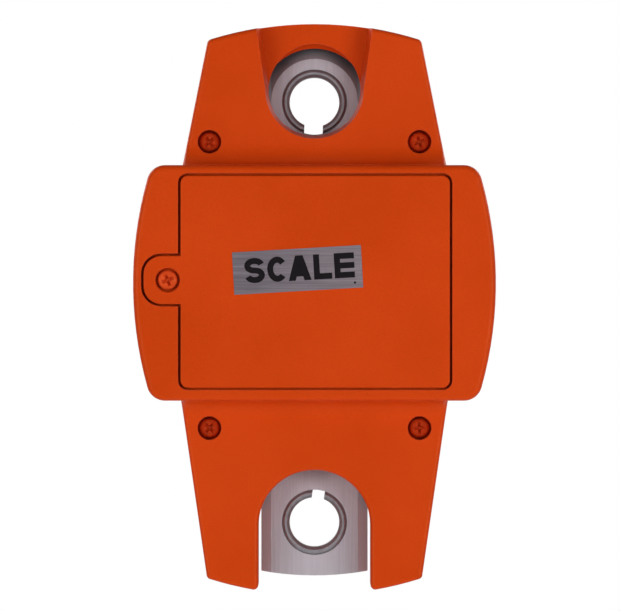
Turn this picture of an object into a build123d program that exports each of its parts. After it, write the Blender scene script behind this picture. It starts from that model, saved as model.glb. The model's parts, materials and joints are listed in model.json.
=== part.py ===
from build123d import *
import os
from math import cos, radians, sin, sqrt

# Crane scale. All lengths are in millimetres.
# Frame: the origin is the centre of the upper eye, +Z is up along the load line,
# -Y is the battery side and +Y is the display side.
os.makedirs("parts", exist_ok=True)

# ---------------------------------------------------------------- driving dimensions
eye_pitch = 122.5            # distance between the centres of the two eyes
lower_eye_z = -eye_pitch

wall = 2.5                   # die-cast wall thickness
gasket_half = 0.5            # half the thickness of the gasket in the parting plane

# central body
body_top = -18.6
body_bottom = -86.9
body_half_width = 52.6
body_side_radius = 112.0
body_corner_radius = 5.3
body_edge_radius = 1.6
body_mid = (body_top + body_bottom) / 2
body_half_height = (body_top - body_bottom) / 2

# necks above and below the body
end_arc_radius = 101.8       # the top edge and the two leg ends follow arcs of this radius
top_apex = 22.6
bottom_apex = -143.4
upper_neck_half = 38.2       # half width where the upper neck leaves the body
upper_neck_slope = 0.206     # narrowing per millimetre of height
lower_neck_half = 38.7
lower_neck_slope = 0.1448
neck_overlap = 12.0          # how far each neck runs on inside the body
neck_edge_radius = 1.2
upper_corner_x = 31.0        # where the top edge meets the neck's sides
lower_corner_x = 31.2
upper_corner_radius = 1.7
leg_corner_radius = 1.4

# depths, measured from the parting plane
rear_neck_depth = 20.0
rear_body_depth = 27.0
rear_blend_radius = 6.0
front_neck_depth = 14.0
front_body_depth = 19.0
front_blend_radius = 4.0
blend_end_angle = radians(78)

# slot between the two lower legs
slot_half = 16.3
slot_arch_z = -123.4
slot_length = 30.0

# round opening and wedge-shaped recess over the upper eye
opening_radius = 13.35
opening_z = 3.45
lip_radius = 15.6            # a thin lip at the bottom of the opening follows the load cell's end
lip_start = 7.0
lip_slope = 1.8
recess_half_bottom = 14.3
recess_half_top = 17.6
recess_top = 26.0            # above the housing's top edge, so the recess is open there
recess_taper = 9.0
recess_wall = 2.1
rear_recess_floor = 12.0
front_recess_floor = 9.6
collar_wall = 2.0
collar_end = 6.3             # the opening's collar stops this far from the parting plane

# way through the shell for the load cell, and the rib that its lower seal lies against
passage_z = -112.0
passage_length = 30.0
passage_play = 0.3
rib_z = -100.0
rib_size = (39.0, 1.8)
rib_start = 7.2

# load cell: a steel bar with an eye at each end and wide bevels along its sides and round its top
cell_half_depth = 6.0
cell_half_width = 15.5
cell_foot_arc_radius = 88.0
cell_foot_apex = -138.0
cell_bevel_width = 2.9
cell_bevel_depth = 1.9
cell_clearance = 0.4
gauge_pocket_z = -60.0
gauge_pocket_size = (15.0, 26.0)
gauge_pocket_depth = 4.0
gauge_pocket_corner = 4.0
gauge_cover_size = (19.0, 30.0)
gauge_cover_thickness = 0.6
gauge_size = (5.0, 7.0)
gauge_thickness = 0.3
gauge_offset = 6.5           # two gauges on each face of the web, above and below its middle
lead_hole_z = gauge_pocket_z - 6.0
lead_radius = 0.8            # both internal leads

# rubber seals round the load cell
seal_play = 0.05
seal_inner = cell_half_width + seal_play
seal_outer = 17.2
seal_half_depth = 4.8
seal_tail = -7.5             # the upper seal's two ends
seal_ring_inner = 15.9       # thin ring under the collar
lower_seal_z = -103.8
lower_seal_height = 2.8
lower_seal_size = (37.0, 17.0)
lower_seal_corner = 1.5
gasket_inset = 0.35
gasket_inner = 2.2
gasket_screw_hole = 3.5

# split bushes in the eyes
bush_outer_radius = 9.5
bush_bore_radius = 7.25
bush_half_length = 6.5
bush_chamfer = 0.8
upper_bush_gap = 5.4
upper_bush_turn = -92.0      # the upper bush's gap points down
lower_bush_gap = 3.6
lower_bush_turn = 82.0       # the lower bush's gap points up

# battery door and its recess
door_left = -38.85
door_right = 39.25
door_top = -21.65
door_bottom = -83.15
door_corner = 2.2
door_gap = 0.7
door_thickness = 2.5
door_edge_radius = 0.35
door_rib_size = (1.4, 48.0)
door_rib_pitch = 22.0
door_rib_height = 0.2
door_mid = ((door_left + door_right) / 2, (door_top + door_bottom) / 2)
door_size = (door_right - door_left, door_top - door_bottom)
tab_centre = (-42.55, -51.9)
tab_half = 7.0
tab_corner = 5.2
tab_thickness = 4.0
tab_join_reach = 6.0         # overlaps the door
tab_thick_reach = 5.3        # the thick part ends short of the door gasket
tab_boss_reach = 12.0
tab_boss_wall = 1.4
tab_boss_back = -17.5
tab_fit = 0.05
tab_seat_play = 0.2
tab_hole_depth = 8.4
door_screw_seat_radius = 3.5
door_screw_seat_depth = 2.2
door_screw_turn = 22
door_screw_length = 4.4
door_outer = -rear_body_depth
door_inner = door_outer + door_thickness
ledge_depth = -23.7
recess_rim = 1.2             # wall round the door recess
hook_positions = (-36.0, -68.0)
hook_half = 4.0
hook_reach = 41.2
hook_root = 38.3
hook_top = -24.2
hook_bottom = -23.0
hook_seat_left = 35.8
hook_seat_floor = -22.3
hook_seat_depth = 2.1
hook_seat_play = 0.4

# housing screws, M3 pan head, deep in counterbores
housing_screw_points = [(-30.5, -11.75), (30.5, -11.75), (-30.5, -94.9), (30.5, -94.9)]
housing_screw_turns = (40, 20, 48, 5)
counterbore_radius = 3.45
counterbore_floor = -14.0
m3_head_radius = 2.85
m3_head_height = 2.0
m3_radius = 1.5
m3_clearance_radius = 1.7
m3_swing_radius = 1.8        # wide enough for the door screw to swing out with the door
m3_head_edge = 0.9
m3_cross = 3.3
m3_cross_depth = 1.3
cross_taper = 12
cross_wing = 0.24            # width of the recess's wings and core, as parts of its size
cross_core = 0.45
housing_screw_length = 20.0
housing_screw_hole = 9.0     # blind hole in the display half
screw_column_radius = 4.25
screw_spacer_radius = 3.3    # bridges the gasket's thickness

# load cell screws, M4
cell_screw_points = [(-7.5, -16.6), (7.5, -16.6)]
cell_boss_radius = 4.0
m4_radius = 2.0
m4_hole_radius = 2.03
m4_clearance_radius = 2.2
m4_hole_depth = 7.0
m4_head_radius = 3.6
m4_head_height = 2.4
m4_head_edge = 1.0
m4_cross = 4.0
m4_cross_depth = 1.5
m4_length = 17.5

# battery pocket and tray
pocket_inset = 4.9
pocket_floor = -8.6
pocket_back = -7.0
pocket_corner = 2.0
pocket_wall = 1.8
door_gasket_insets = (2.8, 4.2)
tray_half_width = 30.0
tray_half_height = 24.2
tray_wall = 1.2
tray_depth = 10.5
tray_floor = 1.0
tray_corner = 1.5
tray_rib_size = (16.0, 1.0)
tray_rib_height = 4.0
tray_rib_places = (-15.0, 15.0)
tray_lug_size = (3.6, 4.0)
tray_lug_y = -13.0
tray_lug_height = 1.5
cell_pitch = 15.6
aa_radius = 7.1
aa_length = 49.0
aa_terminal_radius = 2.7
aa_terminal_length = 1.3
aa_axis_y = -16.75
aa_shift = 2.6               # each AA cell sits this far towards its positive contact
aa_edge = 0.5
contact_plate_size = (9.0, 10.5)
contact_plate_y = -14.2
contact_thickness = 0.4
spring_wire = 0.4            # radius of the wire
spring_length = 5.7
spring_radius = 3.6
spring_pitch = 1.45

# display board, window and buttons
board_half_width = 39.0
board_top = -26.5
board_bottom = -79.0
board_rear = 9.4
board_front = 11.0
board_corner = 1.5
board_boss_radius = 3.0
board_screw_radius = 1.25
board_clearance_radius = 1.35
board_hole_depth = 5.5
board_screw_length = 6.0
board_screw_head = 2.3
board_screw_head_height = 1.6
board_screw_cross = 2.6
board_screw_cross_depth = 1.0
chips = [((-24, -46), (10, 10)), ((-24, -66), (5, 6.2)), ((-4, -34), (4, 5))]
chip_height = 1.4
connector_face = 7.0
connector_size = (6.0, 5.0)
board_screw_points = [(-35.5, -30.2), (35.5, -30.2), (-35.5, -75.3), (35.5, -75.3)]
display_z = -41.0
view_size = (51.0, 17.0)
view_corner = 1.0
lens_size = (54.6, 20.6)
lens_corner = 1.3
lens_thickness = 1.2
lens_play = 0.15
lens_pad_rim = 2.5
lens_pad_corner = 2.0
lens_pad_height = 0.6
lcd_size = (59.0, 26.0)
lcd_corner = 0.6
lcd_layer = 2.2              # thickness of the backlight, and of the glass
panel_size = (77.0, 56.0)
panel_corner = 4.0
panel_z = -53.0
panel_depth = 0.9
panel_thickness = 0.8
panel_play = 0.25
panel_view_corner = 1.5
face_cut = 5.0               # cuts through the display half's face
button_z = -68.0
button_x = {"power": -22.0, "zero": 0.0, "hold": 22.0}
button_radius = 5.3
button_hole = 5.5
button_panel_hole = 5.7
button_top = 20.4
button_foot = 16.0
button_edge_radius = 0.8
button_flange_radius = 6.5
button_flange_top = 16.45
button_flange_thickness = 1.0
button_stem_radius = 2.2
button_stem_top = 15.6
button_places = [(x, button_z) for x in button_x.values()]
switch_top = 14.3            # a pressed button stops 0.1 above it
switch_size = 6.0
switch_hole_depth = 2.4
plunger_radius = 1.7
plunger_hole_radius = 1.78
plunger_low = 13.0
plunger_high = 15.0

# capacity label on the door
label_centre = (-4.9, -49.0)
label_size = (37.4, 12.3)
label_turn = 3.3
label_thickness = 0.12

# internal leads
lead_x = 24.0
battery_lead_start = (31.8, -40.0)
battery_lead_hole = 1.6
battery_lead_end_z = -50.0
battery_lead_y = -1.5
battery_lead_bends = [5.0, 3.8]
load_cell_lead_bends = [3.1]


def depth(y):
    """The XZ plane at this Y; its sketches extrude towards -Y, the battery side."""
    return Plane.XZ.offset(-y)


def arc_z(apex, x, curve_radius):
    """Height at x of an arc that has its crest at x = 0."""
    return apex - (curve_radius - sqrt(curve_radius**2 - x**2))


def export(piece, name):
    piece.part.label = name
    export_step(piece.part, "parts/" + name + ".step")


# ---------------------------------------------------------------- shared outlines
def body_outline():
    corner_x = body_half_width - (body_side_radius - sqrt(body_side_radius**2 - body_half_height**2))
    with BuildSketch() as body:
        with BuildLine():
            Line((-corner_x, body_top), (corner_x, body_top))
            ThreePointArc((corner_x, body_top), (body_half_width, body_mid), (corner_x, body_bottom))
            Line((corner_x, body_bottom), (-corner_x, body_bottom))
            ThreePointArc((-corner_x, body_bottom), (-body_half_width, body_mid), (-corner_x, body_top))
        make_face()
        fillet(body.vertices(), body_corner_radius)
    return body.sketch


def neck_outline():
    """Upper neck, and lower neck with the slot between its two legs."""
    corner_top = arc_z(top_apex, upper_corner_x, end_arc_radius)
    corner_bottom = -arc_z(-bottom_apex, lower_corner_x, end_arc_radius)
    upper_root = upper_neck_half + neck_overlap * upper_neck_slope
    lower_root = lower_neck_half + neck_overlap * lower_neck_slope
    with BuildSketch() as necks:
        with BuildLine():
            Polyline(
                (upper_corner_x, corner_top),
                (upper_root, body_top - neck_overlap),
                (-upper_root, body_top - neck_overlap),
                (-upper_corner_x, corner_top),
            )
            ThreePointArc((-upper_corner_x, corner_top), (0, top_apex), (upper_corner_x, corner_top))
        make_face()
        fillet(necks.vertices().group_by(Axis.Y)[-1], upper_corner_radius)
        with BuildLine():
            Polyline(
                (lower_corner_x, corner_bottom),
                (lower_root, body_bottom + neck_overlap),
                (-lower_root, body_bottom + neck_overlap),
                (-lower_corner_x, corner_bottom),
            )
            ThreePointArc(
                (-lower_corner_x, corner_bottom),
                (0, bottom_apex),
                (lower_corner_x, corner_bottom),
            )
        make_face()
        with Locations((0, slot_arch_z)):
            Circle(slot_half, mode=Mode.SUBTRACT)
            Rectangle(2 * slot_half, slot_length, align=(Align.CENTER, Align.MAX), mode=Mode.SUBTRACT)
        leg_ends = necks.vertices().filter_by(lambda v: v.Y < slot_arch_z - slot_half / 2)
        fillet(leg_ends, leg_corner_radius)
    return necks.sketch


def recess_outline(grow):
    """Wedge that clears a shackle leg over the upper eye."""
    with BuildSketch() as recess:
        with BuildLine():
            Polyline(
                (recess_half_bottom + grow, opening_z),
                (recess_half_top + grow, recess_top),
                (-recess_half_top - grow, recess_top),
                (-recess_half_bottom - grow, opening_z),
                close=True,
            )
        make_face()
        with Locations((0, opening_z)):
            Circle(recess_half_bottom + grow)
    return recess.sketch


def tab_outline(grow, reach):
    """Screw tab, rounded on the left and cut off at this reach to the right of the screw."""
    half = tab_half + grow
    with BuildSketch() as tab:
        with Locations(tab_centre):
            RectangleRounded(2 * half, 2 * half, tab_corner + grow)
            Rectangle(reach, 2 * half, align=(Align.MIN, Align.CENTER))
        with Locations((tab_centre[0] + reach, tab_centre[1])):
            Rectangle(2 * half, 3 * half, align=(Align.MIN, Align.CENTER), mode=Mode.SUBTRACT)
    return tab.sketch


def door_outline(grow):
    """Battery door with its screw tab, grown by a gap or a wall."""
    with BuildSketch() as door:
        with Locations(door_mid):
            RectangleRounded(door_size[0] + 2 * grow, door_size[1] + 2 * grow, door_corner + grow)
        add(tab_outline(grow, tab_join_reach))
    return door.sketch


def pocket_outline(inset):
    with BuildSketch() as pocket:
        with Locations(door_mid):
            RectangleRounded(door_size[0] - 2 * inset, door_size[1] - 2 * inset, pocket_corner)
    return pocket.sketch


def load_cell_outline():
    half = cell_half_width
    foot_corner = -arc_z(-cell_foot_apex, half, cell_foot_arc_radius)
    with BuildSketch() as plate:
        with BuildLine():
            ThreePointArc((half, 0), (0, half), (-half, 0))
            Line((-half, 0), (-half, foot_corner))
            ThreePointArc((-half, foot_corner), (0, cell_foot_apex), (half, foot_corner))
            Line((half, foot_corner), (half, 0))
        make_face()
    return plate.sketch


# ---------------------------------------------------------------- the two cast halves
def half_casting(side, neck_depth, body_depth, blend_radius, recess_floor):
    """Hollow half of the housing. side is -1 for the battery half, +1 for the display half."""
    start = side * gasket_half
    blend_rise = blend_radius * (1 - cos(blend_end_angle))
    blend_foot = blend_radius * (1 - sin(blend_end_angle))
    mid_angle = blend_end_angle / 2
    mid_rise = blend_radius * (1 - cos(mid_angle))
    mid_foot = blend_radius * (1 - sin(mid_angle))
    face = side * neck_depth
    crest = side * (neck_depth + blend_rise)
    middle = side * (neck_depth + mid_rise)

    with BuildPart() as necks:
        with BuildSketch(depth(start)):
            add(neck_outline())
        extrude(amount=-side * (body_depth - gasket_half))
        with BuildSketch(Plane.YZ):
            with BuildLine():
                Polyline(
                    (0, top_apex + wall),
                    (face, top_apex + wall),
                    (face, body_top + blend_radius),
                )
                ThreePointArc(
                    (face, body_top + blend_radius),
                    (middle, body_top + mid_foot),
                    (crest, body_top + blend_foot),
                )
                Line((crest, body_top + blend_foot), (crest, body_bottom - blend_foot))
                ThreePointArc(
                    (crest, body_bottom - blend_foot),
                    (middle, body_bottom - mid_foot),
                    (face, body_bottom - blend_radius),
                )
                Polyline(
                    (face, body_bottom - blend_radius),
                    (face, bottom_apex - wall),
                    (0, bottom_apex - wall),
                    (0, top_apex + wall),
                )
            make_face()
        extrude(amount=2 * body_half_width, both=True, mode=Mode.INTERSECT)
        outer_edges = necks.edges().filter_by(
            lambda e: side * e.center().Y > neck_depth - 0.01
            and abs(e.center().Z - body_mid) > body_half_height + 0.2
        )
        outer_edges = outer_edges.filter_by(Axis.X, reverse=True)
        fillet(outer_edges, neck_edge_radius)

    # space of the round opening: a thin lip at its inner end leaves just the load cell's end showing
    lip_crest = lip_start + lip_slope
    with BuildPart() as opening:
        with BuildSketch(depth(face)):
            with Locations((0, opening_z)):
                Circle(opening_radius)
        extrude(amount=side * (neck_depth - gasket_half))
        with BuildSketch(Plane.XY):
            with BuildLine():
                Polyline(
                    (0, 0),
                    (lip_radius, 0),
                    (lip_radius, side * lip_start),
                    (lip_radius + lip_slope, side * lip_crest),
                    (2 * lip_radius, side * lip_crest),
                    (2 * lip_radius, face),
                    (0, face),
                    close=True,
                )
            make_face()
        revolve(axis=Axis.Y, mode=Mode.INTERSECT)

    with BuildPart() as casting:
        with BuildSketch(depth(start)):
            add(body_outline())
        extrude(amount=-side * (body_depth - gasket_half))
        far_face = casting.faces().sort_by(Axis.Y)[-1 if side > 0 else 0]
        fillet(far_face.edges(), body_edge_radius)
        add(necks.part)

        # hollow inside
        with BuildSketch(depth(start)):
            add(neck_outline())
            add(body_outline())
            offset(amount=-wall)
        extrude(amount=-side * (neck_depth - wall - gasket_half), mode=Mode.SUBTRACT)
        with BuildSketch(depth(start)):
            add(body_outline())
            offset(amount=-wall)
        extrude(amount=-side * (body_depth - wall - gasket_half), mode=Mode.SUBTRACT)

        # wedge recess with its own walls, then the collar round the opening
        with BuildSketch(depth(side * (recess_floor - wall))):
            add(recess_outline(recess_wall))
            add(neck_outline(), mode=Mode.INTERSECT)
        extrude(amount=-side * (neck_depth - recess_floor + wall - neck_edge_radius))
        with BuildSketch(depth(side * collar_end)):
            with Locations((0, opening_z)):
                Circle(opening_radius + collar_wall)
        extrude(amount=-side * (recess_floor - collar_end))
        with BuildSketch(depth(face)):
            add(recess_outline(0))
        extrude(amount=side * (neck_depth - recess_floor), taper=recess_taper, mode=Mode.SUBTRACT)
        add(opening.part, mode=Mode.SUBTRACT)

        # columns for the housing screws
        with BuildSketch(depth(start)):
            with Locations(*housing_screw_points):
                Circle(screw_column_radius)
        extrude(amount=-side * (neck_depth - wall))
        with BuildSketch(depth(0)):
            with Locations(*housing_screw_points):
                Circle(screw_spacer_radius)
        extrude(amount=-side * 2 * gasket_half)

        # rib that holds the lower seal, and the way through for the load cell
        with BuildSketch(depth(side * rib_start)):
            with Locations((0, rib_z)):
                Rectangle(*rib_size)
        extrude(amount=-side * (neck_depth - wall / 2 - rib_start))
        with BuildSketch(depth(start)):
            with Locations((0, passage_z)):
                Rectangle(2 * (cell_half_width + cell_clearance), passage_length)
        extrude(amount=-side * (cell_half_depth + passage_play - gasket_half), mode=Mode.SUBTRACT)
    return casting.part


with BuildPart() as rear_housing:
    add(half_casting(-1, rear_neck_depth, rear_body_depth, rear_blend_radius, rear_recess_floor))

    # bosses that hang on the load cell screws
    with BuildSketch(depth(-cell_half_depth)):
        with Locations(*cell_screw_points):
            Circle(cell_boss_radius)
    extrude(amount=rear_neck_depth - wall / 2 - cell_half_depth)
    with BuildSketch(depth(-cell_half_depth)):
        with Locations(*cell_screw_points):
            Circle(m4_hole_radius)
    extrude(amount=m4_hole_depth, mode=Mode.SUBTRACT)

    # walls of the door recess, the screw tab's seat and the battery pocket
    with BuildSketch(depth(ledge_depth + wall)):
        add(door_outline(door_gap + recess_rim))
    extrude(amount=rear_body_depth + ledge_depth)
    with BuildSketch(depth(tab_boss_back)):
        add(tab_outline(tab_boss_wall, tab_boss_reach))
    extrude(amount=rear_body_depth + tab_boss_back - wall)
    with BuildSketch(depth(pocket_back)):
        add(pocket_outline(pocket_inset - pocket_wall))
    extrude(amount=rear_body_depth - wall + pocket_back)

    # the recess itself, its tab seat and the pocket
    with BuildSketch(depth(door_outer)):
        add(door_outline(door_gap))
    extrude(amount=-(ledge_depth - door_outer), mode=Mode.SUBTRACT)
    with BuildSketch(depth(door_outer)):
        add(tab_outline(door_gap, tab_thick_reach + door_gap))
    extrude(amount=-(tab_thickness + tab_seat_play), mode=Mode.SUBTRACT)
    with BuildSketch(depth(door_outer)):
        add(pocket_outline(pocket_inset))
    extrude(amount=-(pocket_floor - door_outer), mode=Mode.SUBTRACT)

    # seats under the lip for the door's two hooks, long enough for the hooks to swing out
    for hook_z in hook_positions:
        with BuildSketch(depth(hook_seat_floor)):
            with Locations((hook_seat_left, hook_z)):
                seat_length = hook_reach + hook_seat_play - hook_seat_left
                Rectangle(seat_length, 2 * hook_half + 1.0, align=(Align.MIN, Align.CENTER))
        extrude(amount=hook_seat_depth, mode=Mode.SUBTRACT)

    # boss hole for the door screw
    with BuildSketch(depth(door_outer)):
        with Locations(tab_centre):
            Circle(m3_swing_radius)
    extrude(amount=-tab_hole_depth, mode=Mode.SUBTRACT)

    # hole in the pocket's floor for the battery lead
    with BuildSketch(depth(pocket_floor - 1)):
        with Locations(battery_lead_start):
            Circle(battery_lead_hole)
    extrude(amount=-(wall + 1.5), mode=Mode.SUBTRACT)

    # counterbores and clearance holes of the housing screws
    with BuildSketch(depth(-rear_body_depth)):
        with Locations(*housing_screw_points):
            Circle(counterbore_radius)
    extrude(amount=-(rear_body_depth + counterbore_floor), mode=Mode.SUBTRACT)
    with BuildSketch(depth(-rear_neck_depth)):
        with Locations(*housing_screw_points):
            Circle(m3_clearance_radius)
    extrude(amount=-rear_neck_depth, mode=Mode.SUBTRACT)
export(rear_housing, "rear_housing")


with BuildPart() as front_housing:
    add(half_casting(1, front_neck_depth, front_body_depth, front_blend_radius, front_recess_floor))

    # raised pad behind the front panel, with the lens seat, the view and the button holes
    with BuildSketch(depth(front_body_depth - wall)):
        with Locations((0, display_z)):
            pad_size = [side + 2 * lens_pad_rim for side in lens_size]
            RectangleRounded(*pad_size, lens_pad_corner)
    extrude(amount=lens_pad_height)
    with BuildSketch(depth(front_body_depth)):
        with Locations((0, panel_z)):
            panel_seat_size = [side + 2 * panel_play for side in panel_size]
            RectangleRounded(*panel_seat_size, panel_corner + panel_play)
    extrude(amount=panel_depth, mode=Mode.SUBTRACT)
    with BuildSketch(depth(front_body_depth)):
        with Locations((0, display_z)):
            lens_seat_size = [side + 2 * lens_play for side in lens_size]
            RectangleRounded(*lens_seat_size, lens_corner + lens_play)
    extrude(amount=panel_depth + lens_thickness, mode=Mode.SUBTRACT)
    with BuildSketch(depth(front_body_depth)):
        with Locations((0, display_z)):
            RectangleRounded(*view_size, view_corner)
    extrude(amount=face_cut, mode=Mode.SUBTRACT)
    with BuildSketch(depth(front_body_depth)):
        with Locations(*button_places):
            Circle(button_hole)
    extrude(amount=face_cut, mode=Mode.SUBTRACT)

    # bosses that the display board is screwed to
    with BuildSketch(depth(board_front)):
        with Locations(*board_screw_points):
            Circle(board_boss_radius)
    extrude(amount=-(front_body_depth - board_front - wall / 2))
    with BuildSketch(depth(board_front)):
        with Locations(*board_screw_points):
            Circle(board_screw_radius)
    extrude(amount=-board_hole_depth, mode=Mode.SUBTRACT)

    # blind holes for the housing screws
    with BuildSketch(depth(0)):
        with Locations(*housing_screw_points):
            Circle(m3_radius)
    extrude(amount=-housing_screw_hole, mode=Mode.SUBTRACT)
export(front_housing, "front_housing")


# ---------------------------------------------------------------- seals
with BuildPart() as housing_gasket:
    with BuildSketch(depth(gasket_half)):
        add(neck_outline())
        add(body_outline())
        offset(amount=-gasket_inset)
    extrude(amount=2 * gasket_half)
    with BuildSketch(depth(gasket_half)):
        add(neck_outline())
        add(body_outline())
        offset(amount=-gasket_inner)
    extrude(amount=2 * gasket_half, mode=Mode.SUBTRACT)
    with BuildSketch(depth(gasket_half)):
        with Locations((0, passage_z)):
            Rectangle(2 * (cell_half_width + cell_clearance), passage_length)
        with Locations(*housing_screw_points):
            Circle(gasket_screw_hole)
    extrude(amount=2 * gasket_half, mode=Mode.SUBTRACT)
export(housing_gasket, "housing_gasket")

with BuildPart() as upper_seal:
    with BuildSketch(depth(seal_half_depth)):
        Circle(seal_outer)
        with Locations((0, seal_tail)):
            Rectangle(2 * seal_outer, -seal_tail, align=(Align.CENTER, Align.MIN))
            Rectangle(2 * seal_outer, seal_outer, align=(Align.CENTER, Align.MAX), mode=Mode.SUBTRACT)
        Circle(seal_inner, mode=Mode.SUBTRACT)
        Rectangle(2 * seal_inner, seal_outer, align=(Align.CENTER, Align.MAX), mode=Mode.SUBTRACT)
    extrude(amount=2 * seal_half_depth)
    with BuildSketch(depth(collar_end - seal_play)):
        Circle(seal_outer)
        Circle(seal_ring_inner, mode=Mode.SUBTRACT)
        Rectangle(2 * seal_outer, seal_outer, align=(Align.CENTER, Align.MAX), mode=Mode.SUBTRACT)
    extrude(amount=2 * (collar_end - seal_play))
export(upper_seal, "upper_seal")

flat_half = cell_half_width - cell_bevel_width + seal_play
edge_half = cell_half_depth - cell_bevel_depth + seal_play
seal_depth = cell_half_depth + seal_play
with BuildPart() as lower_seal:
    with BuildSketch(Plane.XY.offset(lower_seal_z)):
        Rectangle(*lower_seal_size)
        with BuildLine():
            Polyline(
                (seal_inner, edge_half),
                (flat_half, seal_depth),
                (-flat_half, seal_depth),
                (-seal_inner, edge_half),
                (-seal_inner, -edge_half),
                (-flat_half, -seal_depth),
                (flat_half, -seal_depth),
                (seal_inner, -edge_half),
                close=True,
            )
        make_face(mode=Mode.SUBTRACT)
    extrude(amount=lower_seal_height)
    fillet(lower_seal.edges().filter_by(Axis.Z).group_by(SortBy.DISTANCE)[-1], lower_seal_corner)
export(lower_seal, "lower_seal")


# ---------------------------------------------------------------- load cell and what it carries
with BuildPart() as load_cell:
    with BuildSketch(depth(cell_half_depth)):
        add(load_cell_outline())
    extrude(amount=2 * cell_half_depth)
    for end in (0, -1):
        flat = load_cell.faces().filter_by(Axis.Y).sort_by(Axis.Y)[end]
        rim = flat.edges().sort_by(Axis.Z)
        chamfer(rim[1:], cell_bevel_width, cell_bevel_depth, reference=flat)
    with BuildSketch(depth(cell_half_depth)):
        with Locations((0, 0), (0, lower_eye_z)):
            Circle(bush_outer_radius)
        with Locations(*cell_screw_points):
            Circle(m4_clearance_radius)
    extrude(amount=2 * cell_half_depth, mode=Mode.SUBTRACT)
    # gauge pockets leave a thin web between them
    for pocket_plane, direction in ((depth(cell_half_depth), 1), (depth(-cell_half_depth), -1)):
        with BuildSketch(pocket_plane):
            with Locations((0, gauge_pocket_z)):
                RectangleRounded(*gauge_pocket_size, gauge_pocket_corner)
        extrude(amount=direction * gauge_pocket_depth, mode=Mode.SUBTRACT)
    with BuildSketch(Plane.YZ.offset(cell_half_width)):
        with Locations((0, lead_hole_z)):
            Circle(lead_radius)
    extrude(amount=gauge_pocket_size[0] / 2 - 0.5 - cell_half_width, mode=Mode.SUBTRACT)
export(load_cell, "load_cell")

web_half = cell_half_depth - gauge_pocket_depth
with BuildPart() as strain_gauges:
    for gauge_plane in (depth(web_half + gauge_thickness), depth(-web_half)):
        with BuildSketch(gauge_plane):
            with Locations((0, gauge_pocket_z + gauge_offset), (0, gauge_pocket_z - gauge_offset)):
                Rectangle(*gauge_size)
        extrude(amount=gauge_thickness)
export(strain_gauges, "strain_gauges")

with BuildPart() as gauge_covers:
    for cover_plane in (depth(cell_half_depth + gauge_cover_thickness), depth(-cell_half_depth)):
        with BuildSketch(cover_plane):
            with Locations((0, gauge_pocket_z)):
                RectangleRounded(*gauge_cover_size, gauge_pocket_corner)
        extrude(amount=gauge_cover_thickness)
export(gauge_covers, "gauge_covers")


def split_bush(centre_z, gap_width, turn):
    """Rolled steel bush with chamfered ends and a gap at the given angle from +X."""
    with BuildPart() as bush:
        with BuildSketch(depth(bush_half_length)):
            with Locations((0, centre_z)):
                Circle(bush_outer_radius)
                Circle(bush_bore_radius, mode=Mode.SUBTRACT)
        extrude(amount=2 * bush_half_length)
        chamfer(bush.edges().filter_by(GeomType.CIRCLE), bush_chamfer)
        with BuildSketch(depth(bush_half_length)):
            with Locations(Location((0, centre_z, 0), (0, 0, turn))):
                Rectangle(bush_outer_radius + 2, gap_width, align=(Align.MIN, Align.CENTER))
        extrude(amount=2 * bush_half_length, mode=Mode.SUBTRACT)
    return bush.part


with BuildPart() as upper_eye_bush:
    add(split_bush(0, upper_bush_gap, upper_bush_turn))
export(upper_eye_bush, "upper_eye_bush")

with BuildPart() as lower_eye_bush:
    add(split_bush(lower_eye_z, lower_bush_gap, lower_bush_turn))
export(lower_eye_bush, "lower_eye_bush")


# ---------------------------------------------------------------- screws
def cross_recess(size):
    """Phillips recess drawn round the sketch's origin."""
    with BuildSketch() as cross:
        Rectangle(size, size * cross_wing)
        Rectangle(size * cross_wing, size)
        Rectangle(size * cross_core, size * cross_core)
    return cross.sketch


with BuildPart() as housing_screws:
    with BuildSketch(depth(counterbore_floor)):
        with Locations(*housing_screw_points):
            Circle(m3_head_radius)
    extrude(amount=m3_head_height)
    fillet(housing_screws.edges().group_by(Axis.Y)[0], m3_head_edge)
    for point, turn in zip(housing_screw_points, housing_screw_turns):
        with BuildSketch(depth(counterbore_floor - m3_head_height)):
            with Locations(Location((point[0], point[1], 0), (0, 0, turn))):
                add(cross_recess(m3_cross))
        extrude(amount=-m3_cross_depth, taper=cross_taper, mode=Mode.SUBTRACT)
    with BuildSketch(depth(counterbore_floor)):
        with Locations(*housing_screw_points):
            Circle(m3_radius)
    extrude(amount=-housing_screw_length)
export(housing_screws, "housing_screws")

with BuildPart() as load_cell_screws:
    with BuildSketch(depth(cell_half_depth)):
        with Locations(*cell_screw_points):
            Circle(m4_head_radius)
    extrude(amount=-m4_head_height)
    fillet(load_cell_screws.edges().group_by(Axis.Y)[-1], m4_head_edge)
    with BuildSketch(depth(cell_half_depth + m4_head_height)):
        with Locations(*cell_screw_points):
            add(cross_recess(m4_cross))
    extrude(amount=m4_cross_depth, taper=cross_taper, mode=Mode.SUBTRACT)
    with BuildSketch(depth(cell_half_depth)):
        with Locations(*cell_screw_points):
            Circle(m4_radius)
    extrude(amount=m4_length)
export(load_cell_screws, "load_cell_screws")

with BuildPart() as board_screws:
    with BuildSketch(depth(board_rear)):
        with Locations(*board_screw_points):
            Circle(board_screw_head)
    extrude(amount=board_screw_head_height)
    with BuildSketch(depth(board_rear - board_screw_head_height)):
        with Locations(*board_screw_points):
            add(cross_recess(board_screw_cross))
    extrude(amount=-board_screw_cross_depth, taper=cross_taper, mode=Mode.SUBTRACT)
    with BuildSketch(depth(board_rear)):
        with Locations(*board_screw_points):
            Circle(board_screw_radius)
    extrude(amount=-board_screw_length)
export(board_screws, "board_screws")


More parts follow.
